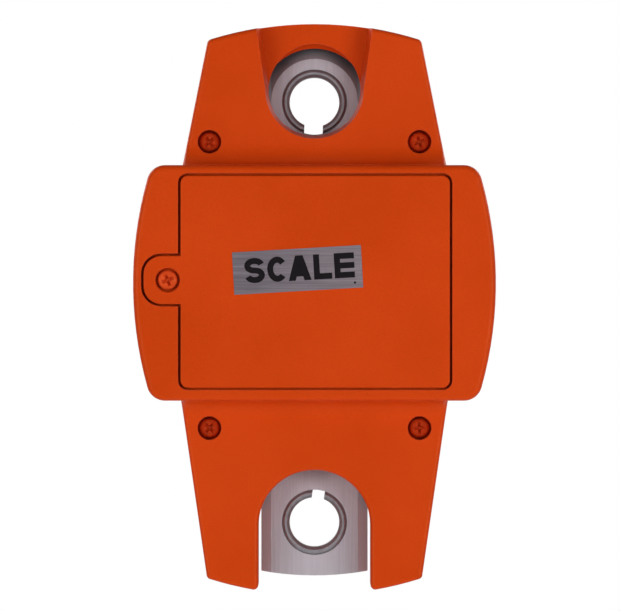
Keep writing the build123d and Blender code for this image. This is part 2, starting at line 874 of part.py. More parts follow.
# ---------------------------------------------------------------- battery door
with BuildPart() as battery_door:
    with BuildSketch(depth(door_inner)):
        add(door_outline(0))
    extrude(amount=door_thickness)
    with BuildSketch(depth(door_outer + tab_thickness)):
        add(tab_outline(-tab_fit, tab_thick_reach - tab_fit))
    extrude(amount=tab_thickness - door_thickness)
    fillet(battery_door.edges().group_by(Axis.Y)[0], door_edge_radius)
    with BuildSketch(depth(door_outer)):
        with Locations(tab_centre):
            Circle(door_screw_seat_radius)
    extrude(amount=-door_screw_seat_depth, mode=Mode.SUBTRACT)
    with BuildSketch(depth(door_outer)):
        with Locations(tab_centre):
            Circle(m3_clearance_radius)
    extrude(amount=-tab_thickness, mode=Mode.SUBTRACT)
    seat_rim = battery_door.edges().group_by(Axis.Y)[0].filter_by(GeomType.CIRCLE)
    seat_rim = seat_rim.filter_by(lambda e: e.radius < door_screw_seat_radius + 0.1)
    fillet(seat_rim, door_edge_radius)
    # hooks that sit under the lip on the right
    for hook_z in hook_positions:
        with BuildSketch(depth(hook_bottom)):
            with Locations((hook_root, hook_z)):
                Rectangle(door_right - hook_root, 2 * hook_half, align=(Align.MIN, Align.CENTER))
        extrude(amount=hook_bottom - door_inner + 0.5)
        with BuildSketch(depth(hook_bottom)):
            with Locations((hook_root, hook_z)):
                Rectangle(hook_reach - hook_root, 2 * hook_half, align=(Align.MIN, Align.CENTER))
        extrude(amount=hook_bottom - hook_top)
    # stiffening ribs on the inside, clear of the cells
    with BuildSketch(depth(door_inner + door_rib_height)):
        with Locations(door_mid):
            with GridLocations(door_rib_pitch, 1, 3, 1):
                Rectangle(*door_rib_size)
    extrude(amount=door_rib_height)
export(battery_door, "battery_door")

with BuildPart() as door_gasket:
    with BuildSketch(depth(ledge_depth)):
        add(pocket_outline(door_gasket_insets[0]))
        add(pocket_outline(door_gasket_insets[1]), mode=Mode.SUBTRACT)
    extrude(amount=ledge_depth - door_inner)
export(door_gasket, "door_gasket")

with BuildPart() as capacity_label:
    with BuildSketch(depth(door_outer)):
        with Locations(Location((*label_centre, 0), (0, 0, label_turn))):
            Rectangle(*label_size)
    extrude(amount=label_thickness)
export(capacity_label, "capacity_label")

door_screw_seat = door_outer + door_screw_seat_depth
with BuildPart() as door_screw:
    with BuildSketch(depth(door_screw_seat)):
        with Locations(tab_centre):
            Circle(m3_head_radius)
    extrude(amount=m3_head_height)
    fillet(door_screw.edges().group_by(Axis.Y)[0], m3_head_edge)
    with BuildSketch(depth(door_screw_seat - m3_head_height)):
        with Locations(Location((*tab_centre, 0), (0, 0, door_screw_turn))):
            add(cross_recess(m3_cross))
    extrude(amount=-m3_cross_depth, taper=cross_taper, mode=Mode.SUBTRACT)
    with BuildSketch(depth(door_screw_seat)):
        with Locations(tab_centre):
            Circle(m3_radius)
    extrude(amount=-door_screw_length)
    chamfer(door_screw.edges().group_by(Axis.Y)[-1], m3_radius / 3)
export(door_screw, "door_screw")


# ---------------------------------------------------------------- battery tray and cells
cell_rows = [door_mid[1] + row * cell_pitch for row in (1, 0, -1)]
with BuildPart() as battery_tray:
    with BuildSketch(depth(pocket_floor)):
        with Locations((0, door_mid[1])):
            RectangleRounded(2 * tray_half_width, 2 * tray_half_height, tray_corner)
    extrude(amount=tray_depth)
    with BuildSketch(depth(pocket_floor - tray_depth)):
        with Locations((0, door_mid[1])):
            Rectangle(2 * (tray_half_width - tray_wall), 2 * (tray_half_height - tray_wall))
    extrude(amount=-(tray_depth - tray_floor), mode=Mode.SUBTRACT)
    # ribs between the cells
    with BuildSketch(depth(pocket_floor - 0.9 * tray_floor)):
        with Locations(*[(x, z + cell_pitch / 2) for x in tray_rib_places for z in cell_rows[1:]]):
            Rectangle(*tray_rib_size)
    extrude(amount=tray_rib_height)
    # lug that the battery lead leaves from
    with BuildSketch(depth(tray_lug_y)):
        with Locations((tray_half_width - tray_wall / 6, battery_lead_start[1])):
            Rectangle(*tray_lug_size, align=(Align.MIN, Align.CENTER))
    extrude(amount=tray_lug_height)
export(battery_tray, "battery_tray")

with BuildPart() as battery_cells:
    for z, sign in zip(cell_rows, (1, -1, 1)):
        flat_end = Plane(
            origin=(sign * (aa_shift - aa_length / 2), aa_axis_y, z),
            x_dir=(0, 1, 0),
            z_dir=(sign, 0, 0),
        )
        with BuildSketch(flat_end):
            Circle(aa_radius)
        extrude(amount=aa_length)
        with BuildSketch(flat_end.offset(aa_length)):
            Circle(aa_terminal_radius)
        extrude(amount=aa_terminal_length)
    can_rims = battery_cells.edges().filter_by(GeomType.CIRCLE)
    can_rims = can_rims.filter_by(lambda e: e.radius > aa_terminal_radius + 1)
    chamfer(can_rims, aa_edge)
export(battery_cells, "battery_cells")

contact_inner = tray_half_width - tray_wall
with BuildPart() as contact_plates:
    for side in (-1, 1):
        with BuildSketch(Plane.YZ.offset(side * contact_inner)):
            with Locations(*[(contact_plate_y, z) for z in cell_rows]):
                Rectangle(*contact_plate_size)
        extrude(amount=-side * contact_thickness)
export(contact_plates, "contact_plates")

with BuildPart() as contact_springs:
    for z, sign in zip(cell_rows, (1, -1, 1)):
        foot_x = -sign * (contact_inner - contact_thickness - spring_wire)
        with BuildLine() as coil:
            foot = (foot_x, aa_axis_y, z)
            Helix(spring_pitch, spring_length, spring_radius, center=foot, direction=(sign, 0, 0))
        with BuildSketch(Plane(origin=coil.line @ 0, z_dir=coil.line % 0)):
            Circle(spring_wire)
        sweep(path=coil.line)
export(contact_springs, "contact_springs")


# ---------------------------------------------------------------- display board and its parts
board_mid = (0, (board_top + board_bottom) / 2)
with BuildPart() as main_board:
    with BuildSketch(depth(board_front)):
        with Locations(board_mid):
            RectangleRounded(2 * board_half_width, board_top - board_bottom, board_corner)
        with Locations(*board_screw_points):
            Circle(board_clearance_radius, mode=Mode.SUBTRACT)
    extrude(amount=board_front - board_rear)
export(main_board, "main_board")

with BuildPart() as main_chips:
    with BuildSketch(depth(board_rear)):
        for chip_place, chip_size in chips:
            with Locations(chip_place):
                Rectangle(*chip_size)
    extrude(amount=chip_height)
export(main_chips, "main_chips")

connector_points = [(lead_x, battery_lead_end_z), (lead_x, lead_hole_z)]
with BuildPart() as lead_connectors:
    with BuildSketch(depth(board_rear)):
        with Locations(*connector_points):
            Rectangle(*connector_size)
    extrude(amount=board_rear - connector_face)
export(lead_connectors, "lead_connectors")

with BuildPart() as lcd_backlight:
    with BuildSketch(depth(board_front + lcd_layer)):
        with Locations((0, display_z)):
            RectangleRounded(*lcd_size, lcd_corner)
    extrude(amount=lcd_layer)
export(lcd_backlight, "lcd_backlight")

with BuildPart() as lcd_glass:
    with BuildSketch(depth(board_front + 2 * lcd_layer)):
        with Locations((0, display_z)):
            Rectangle(lcd_size[0] - 1, lcd_size[1] - 1)
    extrude(amount=lcd_layer)
export(lcd_glass, "lcd_glass")

panel_seat = front_body_depth - panel_depth
with BuildPart() as display_window:
    with BuildSketch(depth(panel_seat)):
        with Locations((0, display_z)):
            RectangleRounded(*lens_size, lens_corner)
    extrude(amount=lens_thickness)
export(display_window, "display_window")

with BuildPart() as front_panel:
    with BuildSketch(depth(panel_seat + panel_thickness)):
        with Locations((0, panel_z)):
            RectangleRounded(*panel_size, panel_corner)
        with Locations((0, display_z)):
            RectangleRounded(*view_size, panel_view_corner, mode=Mode.SUBTRACT)
        with Locations(*button_places):
            Circle(button_panel_hole, mode=Mode.SUBTRACT)
    extrude(amount=panel_thickness)
export(front_panel, "front_panel")


# ---------------------------------------------------------------- buttons and their switches
with BuildPart() as tact_switches:
    with BuildSketch(depth(switch_top)):
        with Locations(*button_places):
            Rectangle(switch_size, switch_size)
    extrude(amount=switch_top - board_front)
    with BuildSketch(depth(switch_top)):
        with Locations(*button_places):
            Circle(plunger_hole_radius)
    extrude(amount=switch_hole_depth, mode=Mode.SUBTRACT)
export(tact_switches, "tact_switches")

for button_name, x in button_x.items():
    with BuildPart() as button:
        with BuildSketch(depth(button_top)):
            with Locations((x, button_z)):
                Circle(button_radius)
        extrude(amount=button_top - button_foot)
        fillet(button.edges().group_by(Axis.Y)[-1], button_edge_radius)
        with BuildSketch(depth(button_flange_top)):
            with Locations((x, button_z)):
                Circle(button_flange_radius)
        extrude(amount=button_flange_thickness)
        with BuildSketch(depth(button_stem_top)):
            with Locations((x, button_z)):
                Circle(button_stem_radius)
        extrude(amount=button_stem_top - plunger_high)
    export(button, "button_" + button_name)

    with BuildPart() as plunger:
        with BuildSketch(depth(plunger_high)):
            with Locations((x, button_z)):
                Circle(plunger_radius)
        extrude(amount=plunger_high - plunger_low)
    export(plunger, "switch_plunger_" + button_name)


# ---------------------------------------------------------------- internal leads
def lead(route, bends):
    """Round lead along a route whose corners are rounded with these radii."""
    with BuildPart() as tube:
        with BuildLine() as path:
            FilletPolyline(*route, radius=bends)
        with BuildSketch(Plane(origin=path.line @ 0, z_dir=path.line % 0)):
            Circle(lead_radius)
        sweep(path=path.line)
    return tube.part


with BuildPart() as battery_lead:
    start_x, start_z = battery_lead_start
    battery_lead_route = [
        (start_x, tray_lug_y, start_z),
        (start_x, battery_lead_y, start_z),
        (lead_x, battery_lead_y, battery_lead_end_z),
        (lead_x, connector_face, battery_lead_end_z),
    ]
    add(lead(battery_lead_route, battery_lead_bends))
export(battery_lead, "battery_lead")

with BuildPart() as load_cell_lead:
    cell_lead_route = [
        (cell_half_width, 0, lead_hole_z),
        (lead_x, 0, lead_hole_z),
        (lead_x, connector_face, lead_hole_z),
    ]
    add(lead(cell_lead_route, load_cell_lead_bends))
export(load_cell_lead, "load_cell_lead")
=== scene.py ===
import json
import math

import bmesh
import bpy
from mathutils import Matrix, Vector
from mathutils.geometry import delaunay_2d_cdt


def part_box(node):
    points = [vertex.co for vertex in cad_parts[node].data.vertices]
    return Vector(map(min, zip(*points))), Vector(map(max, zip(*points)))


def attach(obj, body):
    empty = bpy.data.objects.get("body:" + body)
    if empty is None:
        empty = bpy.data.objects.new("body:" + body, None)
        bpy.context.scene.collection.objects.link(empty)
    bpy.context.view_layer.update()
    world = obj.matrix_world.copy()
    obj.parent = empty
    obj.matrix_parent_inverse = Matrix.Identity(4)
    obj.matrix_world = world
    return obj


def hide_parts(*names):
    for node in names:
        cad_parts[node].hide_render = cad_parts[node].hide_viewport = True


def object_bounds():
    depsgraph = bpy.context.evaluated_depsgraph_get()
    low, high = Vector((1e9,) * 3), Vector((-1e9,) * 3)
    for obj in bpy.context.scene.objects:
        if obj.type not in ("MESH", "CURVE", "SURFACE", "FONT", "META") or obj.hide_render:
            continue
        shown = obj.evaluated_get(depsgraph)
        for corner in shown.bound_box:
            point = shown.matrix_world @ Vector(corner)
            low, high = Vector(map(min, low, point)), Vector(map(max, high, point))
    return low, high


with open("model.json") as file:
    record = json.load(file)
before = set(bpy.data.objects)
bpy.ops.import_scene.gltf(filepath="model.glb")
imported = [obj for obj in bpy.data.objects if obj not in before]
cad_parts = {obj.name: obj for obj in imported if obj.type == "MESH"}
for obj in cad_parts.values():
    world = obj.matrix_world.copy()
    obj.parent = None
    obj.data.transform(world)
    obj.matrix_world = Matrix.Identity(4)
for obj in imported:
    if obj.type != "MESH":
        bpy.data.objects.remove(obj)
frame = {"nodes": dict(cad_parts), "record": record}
cad_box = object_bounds()
nodes = frame["nodes"]
slots = {part["node"]: part["material_slot"] for part in frame["record"]["subparts"]}
MM = 0.001
PRINT = 0.015 * MM                  # thickness of a printed mark
LABEL_TURN = math.radians(3.3)      # the label sits slightly askew on the door
SCREW_HEAD_RADIUS = 2.85 * MM       # M3 pan head
MERGE = 1e-7                        # points closer than this are one point


# ------------------------------------------------------------------ shader building blocks
class Shader:
    """One material with a Principled shader and short calls for its nodes."""

    def __init__(self, name, color, roughness, metallic=0.0):
        self.material = bpy.data.materials.new(name)
        self.material.use_nodes = True
        self.tree = self.material.node_tree
        self.surface = self.tree.nodes["Principled BSDF"]
        self.set(self.surface, "Base Color", (*color, 1.0))
        self.set(self.surface, "Roughness", roughness)
        self.set(self.surface, "Metallic", metallic)
        self.space = self.add("ShaderNodeTexCoord").outputs["Object"]

    def add(self, kind, **inputs):
        made = self.tree.nodes.new(kind)
        for key, value in inputs.items():
            self.set(made, key.replace("_", " "), value)
        return made

    def set(self, target, socket, value):
        if isinstance(value, bpy.types.NodeSocket):
            self.tree.links.new(value, target.inputs[socket])
        else:
            target.inputs[socket].default_value = value

    def stretched(self, stretch, turn=(0, 0, 0)):
        mapping = self.add("ShaderNodeMapping", Vector=self.space, Rotation=turn, Scale=stretch)
        return mapping.outputs["Vector"]

    def noise(self, scale, detail=2.0, space=None, roughness=0.5):
        made = self.add("ShaderNodeTexNoise", Vector=space or self.space, Scale=scale, Detail=detail)
        self.set(made, "Roughness", roughness)
        return made.outputs["Fac"]

    def cells(self, scale):
        return self.add("ShaderNodeTexVoronoi", Vector=self.space, Scale=scale).outputs["Distance"]

    def spread(self, value, low, high, new_low=0.0, new_high=1.0):
        made = self.add("ShaderNodeMapRange", Value=value)
        self.set(made, "From Min", low)
        self.set(made, "From Max", high)
        self.set(made, "To Min", new_low)
        self.set(made, "To Max", new_high)
        return made.outputs["Result"]

    def mix(self, factor, first, second):
        made = self.add("ShaderNodeMix")
        made.data_type = "RGBA"
        factor_socket, first_socket, second_socket, result_socket = 0, 6, 7, 2
        self.set(made, factor_socket, factor)
        for socket, color in ((first_socket, first), (second_socket, second)):
            self.set(made, socket, color if isinstance(color, bpy.types.NodeSocket) else (*color, 1.0))
        return made.outputs[result_socket]

    def clouds(self, scale, detail, first, second, low=0.3, high=0.7):
        """Noise that drifts between two colours, or between two numbers."""
        noise = self.noise(scale, detail)
        if isinstance(first, tuple):
            return self.mix(self.spread(noise, low, high), first, second)
        return self.spread(noise, low, high, first, second)

    def math(self, operation, first, second):
        made = self.add("ShaderNodeMath")
        made.operation = operation
        self.set(made, 0, first)
        self.set(made, 1, second)
        return made.outputs[0]

    def axis(self, letter):
        return self.add("ShaderNodeSeparateXYZ", Vector=self.space).outputs[letter]

    def edges(self, radius, low=0.02, high=0.35):
        """1 on sharp convex or concave edges, 0 on open faces."""
        bevel = self.add("ShaderNodeBevel", Radius=radius)
        bevel.samples = 4
        dot = self.add("ShaderNodeVectorMath")
        dot.operation = "DOT_PRODUCT"
        self.set(dot, 0, bevel.outputs["Normal"])
        self.set(dot, 1, self.add("ShaderNodeNewGeometry").outputs["Normal"])
        return self.spread(self.math("SUBTRACT", 1.0, dot.outputs["Value"]), low, high)

    def hollows(self, distance):
        """0 deep in a groove or corner, 1 on an open face."""
        occlusion = self.add("ShaderNodeAmbientOcclusion", Distance=distance)
        occlusion.samples = 4
        return occlusion.outputs["AO"]

    def bump(self, height, strength, distance, normal=None):
        made = self.add("ShaderNodeBump", Height=height, Strength=strength, Distance=distance)
        if normal is not None:
            self.set(made, "Normal", normal)
        return made.outputs["Normal"]

    def finish(self, **inputs):
        for key, value in inputs.items():
            self.set(self.surface, key.replace("_", " "), value)
        return self.material


# ------------------------------------------------------------------ materials
ORANGE = (0.68, 0.055, 0.0022)
ORANGE_SHEEN = (1.0, 0.42, 0.20, 1.0)
BARE_METAL = (0.46, 0.30, 0.24)     # shows where a driver has chipped a coated screw
PAINTED_BEVEL_LIGHT = (0.62, 0.74, 0.83)       # painted light: lighter, bluer side bevels of the load cell, against the orange light from the legs
PALE_TAPE = (0.40, 0.33, 0.35)      # the label towards its right end


def shade(color, factor, lift=0.0):
    """The colour made darker or lighter."""
    return tuple(min(1.0, c * factor + lift) for c in color)


def powder_coat(name, color):
    """Orange powder coat: orange peel, fine grit, painted shade in grooves, and a painted highlight on sharp
    edges, where the film is also thinner.
    """
    roughness, grit_scale = 0.40, 2600
    s = Shader(name, color, roughness)
    tone = s.clouds(28, 3, shade(color, 0.94), shade(color, 1.04, 0.002), 0.35, 0.65)
    # painted shade: the coat darkened in grooves and corners, where little light reaches
    crease_shade = s.spread(s.hollows(1.3 * MM), 0.25, 0.95, 0.35, 0.0)
    tone = s.mix(crease_shade, tone, shade(color, 0.42))
    # painted highlight: the coat lighter on sharp edges, where the film is also thinner
    thin_film_highlight = s.math("MULTIPLY", s.edges(0.45 * MM), s.clouds(900, 4, 0.3, 0.85, 0.38, 0.62))
    tone = s.mix(thin_film_highlight, tone, shade(color, 1.22, 0.035))
    speckle = s.clouds(grit_scale, 2, 0.0, 0.22, 0.42, 0.70)
    tone = s.mix(speckle, tone, shade(color, 0.62))
    peel = s.bump(s.noise(560, 2), strength=0.62, distance=0.15 * MM)
    grit = s.bump(s.noise(grit_scale, 3), strength=0.38, distance=0.05 * MM, normal=peel)
    gloss = s.clouds(260, 3, roughness - 0.045, roughness + 0.05)
    s.set(s.surface, "Specular Tint", ORANGE_SHEEN)
    return s.finish(Base_Color=tone, Roughness=gloss, Normal=grit, Specular_IOR_Level=0.30)


def screw_coat(name, color):
    """Screws coated with the housing, with painted shade in their hollows; the coat is chipped where a
    driver has turned in the cross.
    """
    s = Shader(name, color, roughness=0.42)
    tone = s.clouds(350, 3, shade(color, 0.9), shade(color, 1.1), 0.35, 0.65)
    # painted shade: the screw darkened in the cross recess and round the head, where little light reaches
    hollow_shade = s.spread(s.hollows(0.5 * MM), 0.15, 0.7, 0.35, 0.0)
    tone = s.mix(hollow_shade, tone, shade(color, 0.30))
    worn = s.math("MULTIPLY", s.edges(0.2 * MM, 0.05, 0.45), s.clouds(1500, 4, 0.0, 1.0, 0.48, 0.66))
    tone = s.mix(s.math("MULTIPLY", worn, 0.35), tone, BARE_METAL)
    grit = s.bump(s.noise(2400, 3), strength=0.25, distance=0.04 * MM)
    s.set(s.surface, "Specular Tint", ORANGE_SHEEN)
    return s.finish(Base_Color=tone, Normal=grit, Specular_IOR_Level=0.4)


def brushed_metal(name, color, roughness, grain, wear=0.0, metallic=1.0, recess_shade=0.0):
    """Satin metal with a directional grain and faint stains.

    The load cell also has painted light: lighter, bluer side bevels and painted shade deep in the upper
    recess.
    """
    s = Shader(name, color, roughness, metallic)
    lines = s.noise(1.0, 6, s.stretched(grain), 0.65)
    stains = s.noise(85, 4)
    tone = s.mix(s.spread(lines, 0.3, 0.7), shade(color, 0.86), shade(color, 1.08))
    tone = s.mix(s.spread(stains, 0.45, 0.75, 0.0, 0.35), tone, shade(color, 0.80))
    if wear:
        rub = s.math("MULTIPLY", s.edges(0.4 * MM), wear)
        tone = s.mix(rub, tone, shade(color, 1.35))
    if recess_shade:
        bevel_start, bevel_end = 12.45 * MM, 12.75 * MM
        # painted light: the side bevels tinted lighter and bluer, cancelling the orange light they catch
        # from the legs
        side = s.spread(s.math("ABSOLUTE", s.axis("X"), 0.0), bevel_start, bevel_end)
        tone = s.mix(side, tone, PAINTED_BEVEL_LIGHT)
        # painted shade: the metal darkened deep in the upper recess, most near its top, where the housing
        # shades it
        high = s.spread(s.axis("Z"), 2 * MM, 11 * MM, 0.22, 1.0)
        recess_shadow = s.math("MULTIPLY", s.spread(s.hollows(6 * MM), 0.35, 0.95, recess_shade, 0.0), high)
        tone = s.mix(recess_shadow, tone, shade(color, 0.10))
    relief = s.math("ADD", lines, s.math("MULTIPLY", stains, 0.6))
    gloss = s.spread(relief, 0.5, 1.1, roughness - 0.07, roughness + 0.09)
    brushing = s.bump(lines, strength=0.16, distance=0.05 * MM)
    return s.finish(Base_Color=tone, Roughness=gloss, Normal=brushing)


def moulded(name, color, roughness, grit=2200, depth=0.25):
    """Moulded plastic or rubber: spark-eroded grain and slight tone changes."""
    s = Shader(name, color, roughness)
    tone = s.clouds(140, 3, shade(color, 0.85), shade(color, 1.12, 0.002), 0.35, 0.65)
    gloss = s.clouds(700, 2, roughness - 0.05, roughness + 0.05)
    grain = s.bump(s.noise(grit, 3), depth, 0.05 * MM)
    return s.finish(Base_Color=tone, Roughness=gloss, Normal=grain)


def foam(name, color):
    """Closed-cell foam: small pits all over."""
    s = Shader(name, color, roughness=0.85)
    pits = s.cells(1700)
    tone = s.mix(s.spread(pits, 0.05, 0.5), shade(color, 0.55), shade(color, 1.2))
    pitting = s.bump(pits, strength=0.6, distance=0.15 * MM)
    return s.finish(Base_Color=tone, Normal=pitting, Sheen_Weight=0.15)


def metal_tape():
    """Metallised label tape: brushing along its length, darker and lighter streaks."""
    s = Shader("metal_tape", (0.25, 0.21, 0.235), roughness=0.46, metallic=0.75)
    along = (0, LABEL_TURN, 0)
    streaks = s.noise(1.0, 5, s.stretched((26, 26, 2300), along), 0.6)
    fine = s.noise(1.0, 3, s.stretched((90, 90, 5200), along), 0.6)
    blend = s.math("ADD", s.math("MULTIPLY", streaks, 0.65), s.math("MULTIPLY", fine, 0.35))
    tone = s.mix(s.spread(blend, 0.36, 0.64), (0.125, 0.105, 0.125), (0.27, 0.235, 0.265))
    rightward = s.spread(s.axis("X"), -18 * MM, 14 * MM, 0.0, 0.30)
    tone = s.mix(rightward, tone, PALE_TAPE)
    gloss = s.spread(fine, 0.3, 0.7, 0.38, 0.54)
    brushing = s.bump(fine, strength=0.2, distance=0.03 * MM)
    return s.finish(Base_Color=tone, Roughness=gloss, Normal=brushing)


def printed_film():
    """Hard-coated keypad film with a fine velvet texture."""
    s = Shader("printed_film", (0.022, 0.024, 0.028), roughness=0.36)
    tone = s.clouds(120, 2, (0.018, 0.020, 0.024), (0.028, 0.030, 0.035))
    velvet = s.bump(s.noise(4200, 2), strength=0.30, distance=0.03 * MM)
    gloss = s.clouds(900, 2, 0.30, 0.42)
    return s.finish(Base_Color=tone, Normal=velvet, Roughness=gloss, Specular_IOR_Level=0.35)


def lcd_face():
    """Reflective display glass: grey-green, slightly uneven."""
    s = Shader("lcd_face", (0.30, 0.36, 0.27), roughness=0.35)
    tone = s.clouds(45, 2, (0.27, 0.33, 0.245), (0.335, 0.395, 0.30))
    speckle = s.bump(s.noise(5200, 1), strength=0.12, distance=0.02 * MM)
    return s.finish(Base_Color=tone, Roughness=s.clouds(300, 2, 0.30, 0.40), Normal=speckle)


def clear_acrylic():
    s = Shader("clear_acrylic", (0.97, 0.99, 0.985), roughness=0.03)
    waves = s.bump(s.noise(160, 1), strength=0.02, distance=0.05 * MM)
    haze = s.clouds(700, 3, 0.015, 0.06)
    return s.finish(Transmission_Weight=1.0, IOR=1.49, Normal=waves, Roughness=haze)


def solder_resist():
    """Green board lacquer, lighter over a pattern of tracks."""
    s = Shader("solder_resist", (0.010, 0.120, 0.045), roughness=0.28)
    on_board = s.stretched((1, 1, 1), (math.radians(90), 0, 0))
    tracks = s.add("ShaderNodeTexBrick", Vector=on_board, Scale=180).outputs["Fac"]
    tone = s.mix(s.spread(tracks, 0.0, 1.0), (0.008, 0.095, 0.036), (0.020, 0.190, 0.075))
    return s.finish(Base_Color=tone, Roughness=s.clouds(500, 2, 0.22, 0.36))


def cell_sleeve(name, color, metallic=0.0):
    """Shrink sleeve of a battery: glossy film with faint wrap lines round the cell."""
    s = Shader(name, color, 0.22, metallic)
    tone = s.clouds(80, 2, shade(color, 0.85), shade(color, 1.15))
    wrap = s.bump(s.noise(1.0, 1, s.stretched((30, 260, 260))), strength=0.08, distance=0.10 * MM)
    return s.finish(Base_Color=tone, Normal=wrap, Roughness=s.clouds(400, 2, 0.17, 0.28))


def ink(name, color):
    """Screen-printed ink: slightly uneven film."""
    s = Shader(name, color, roughness=0.5)
    tone = s.clouds(600, 3, shade(color, 0.88), shade(color, 1.1))
    return s.finish(Base_Color=tone, Roughness=s.clouds(1500, 2, 0.42, 0.58), Specular_IOR_Level=0.12)


finishes = {
    "orange_coat": powder_coat("orange_coat", ORANGE),
    "screw_coat": screw_coat("screw_coat", (0.66, 0.060, 0.009)),
    "load_cell_steel": brushed_metal(
        "load_cell_steel", (0.50, 0.47, 0.515), 0.50, (1900, 1900, 60), metallic=0.2, recess_shade=0.9,
    ),
    "bush_steel": brushed_metal(
        "bush_steel", (0.355, 0.342, 0.366), 0.34, (900, 60, 900), wear=0.9, metallic=0.75,
    ),
    "inner_steel": brushed_metal("inner_steel", (0.60, 0.59, 0.57), 0.34, (700, 700, 700)),
    "black_rubber": moulded("black_rubber", (0.024, 0.021, 0.021), 0.62, grit=1800, depth=0.35),
    "label_tape": metal_tape(),
    "gauge_foil": brushed_metal("gauge_foil", (0.72, 0.48, 0.20), 0.32, (2400, 2400, 90)),
    "tray_plastic": moulded("tray_plastic", (0.022, 0.022, 0.024), 0.48),
    "battery_wrap": cell_sleeve("battery_wrap", (0.030, 0.035, 0.045)),
    "contact_nickel": brushed_metal("contact_nickel", (0.68, 0.66, 0.61), 0.26, (1200, 300, 1200)),
    "board_green": solder_resist(),
    "chip_black": moulded("chip_black", (0.018, 0.018, 0.020), 0.50),
    "connector_white": moulded("connector_white", (0.72, 0.70, 0.63), 0.42),
    "backlight_white": moulded("backlight_white", (0.78, 0.80, 0.78), 0.45),
    "lcd_face": lcd_face(),
    "window_clear": clear_acrylic(),
    "panel_film": printed_film(),
    "button_red": moulded("button_red", (0.46, 0.022, 0.016), 0.46, grit=2600),
    "button_grey": moulded("button_grey", (0.20, 0.21, 0.225), 0.50, grit=2600),
    "switch_black": moulded("switch_black", (0.02, 0.02, 0.02), 0.40),
    "lead_jacket": moulded("lead_jacket", (0.025, 0.025, 0.028), 0.45),
}
door_foam = foam("door_foam", (0.040, 0.038, 0.038))
black_ink = ink("black_ink", (0.006, 0.004, 0.006))
white_ink = ink("white_ink", (0.74, 0.75, 0.76))
orange_ink = ink("orange_ink", (0.60, 0.085, 0.012))
segment_ink = ink("segment_ink", (0.018, 0.022, 0.020))
door_screw_coat = screw_coat("door_screw_coat", (0.68, 0.065, 0.010))
sleeve_band = cell_sleeve("sleeve_band", (0.50, 0.23, 0.08), metallic=0.7)
cell_can = brushed_metal("cell_can", (0.66, 0.65, 0.63), 0.28, (60, 1400, 1400))
solder = brushed_metal("solder", (0.62, 0.62, 0.60), 0.35, (900, 900, 900))
resistor_black = moulded("resistor_black", (0.030, 0.028, 0.028), 0.45)
capacitor_tan = moulded("capacitor_tan", (0.30, 0.19, 0.10), 0.40)

for node, slot in slots.items():
    nodes[node].data.materials.clear()
    nodes[node].data.materials.append(finishes[slot])
nodes["door_gasket"].data.materials[0] = door_foam


# ------------------------------------------------------------------ shapes for the added pieces
def place(name, mesh, body, slot, *materials, stands_for=()):
    """Makes a piece of this mesh that moves with a body."""
    piece = bpy.data.objects.new(name, mesh)
    bpy.context.scene.collection.objects.link(piece)
    for material in materials:
        mesh.materials.append(material)
    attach(piece, body)
    if stands_for:
        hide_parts(*stands_for)
    return piece


def to_mesh(name, shape):
    """Closes the shape's making, with its faces turned outwards."""
    bmesh.ops.recalc_face_normals(shape, faces=shape.faces)
    mesh = bpy.data.meshes.new(name)
    shape.to_mesh(mesh)
    shape.free()
    return mesh


def smooth(mesh, angle=math.radians(35)):
    """Smooth shading that keeps edges sharper than the angle."""
    mesh.polygons.foreach_set("use_smooth", [True] * len(mesh.polygons))
    mesh.set_sharp_from_angle(angle=angle)
    return mesh


def prism(shape, outline, low, high):
    """Adds a closed plate to the shape: an outline of (x, z) between two depths in Y."""
    rings = [[shape.verts.new((x, y, z)) for x, z in outline] for y in (low, high)]
    count = len(outline)
    shape.faces.new(rings[0])
    shape.faces.new(reversed(rings[1]))
    for i in range(count):
        j = (i + 1) % count
        shape.faces.new((rings[0][j], rings[0][i], rings[1][i], rings[1][j]))


def ribbon(shape, outline, inner, low, high):
    """Adds a closed band between an outer and an inner outline with as many points."""
    count = len(outline)
    loops = [[shape.verts.new((x, y, z)) for x, z in ring] for y in (low, high) for ring in (outline, inner)]
    for a, b in ((0, 1), (1, 3), (3, 2), (2, 0)):
        for i in range(count):
            j = (i + 1) % count
            shape.faces.new((loops[a][i], loops[a][j], loops[b][j], loops[b][i]))


def lathe(shape, profile, to_point, steps=48, material_of=None):
    """Adds a turned form: (along, radius) points, with one point where the radius is 0."""
    rings = []
    turns = [2 * math.pi * k / steps for k in range(steps)]
    for along, radius in profile:
        if radius == 0:
            rings.append([shape.verts.new(to_point(along, 0, 0))])
        else:
            spots = [to_point(along, radius * math.cos(t), radius * math.sin(t)) for t in turns]
            rings.append([shape.verts.new(spot) for spot in spots])
    for index, (first, second) in enumerate(zip(rings, rings[1:])):
        for k in range(steps):
            n = (k + 1) % steps
            corners = [first[k % len(first)], first[n % len(first)]]
            corners += [second[n % len(second)], second[k % len(second)]]
            face = shape.faces.new(list(dict.fromkeys(corners)))
            if material_of:
                face.material_index = material_of[index]


def arc_points(centre, radius, start, end, steps):
    """Points on an arc, angles in degrees."""
    angles = [math.radians(start + (end - start) * k / steps) for k in range(steps + 1)]
    return [(centre[0] + radius * math.cos(a), centre[1] + radius * math.sin(a)) for a in angles]


def dot_outline(centre, radius):
    """Round dot of twelve points."""
    return arc_points(centre, radius, 0, 330, 11)


def rounded_box(centre, size, corner, steps=6):
    """Outline of a rectangle with rounded corners."""
    half_x, half_z = size[0] / 2 - corner, size[1] / 2 - corner
    points = []
    for quarter, (side_x, side_z) in enumerate(((1, 1), (-1, 1), (-1, -1), (1, -1))):
        middle = (centre[0] + side_x * half_x, centre[1] + side_z * half_z)
        points += arc_points(middle, corner, 90 * quarter, 90 * quarter + 90, steps)
    return points


def evaluated_mesh(thing):
    bpy.context.view_layer.update()
    return bpy.data.meshes.new_from_object(thing.evaluated_get(bpy.context.evaluated_depsgraph_get()))


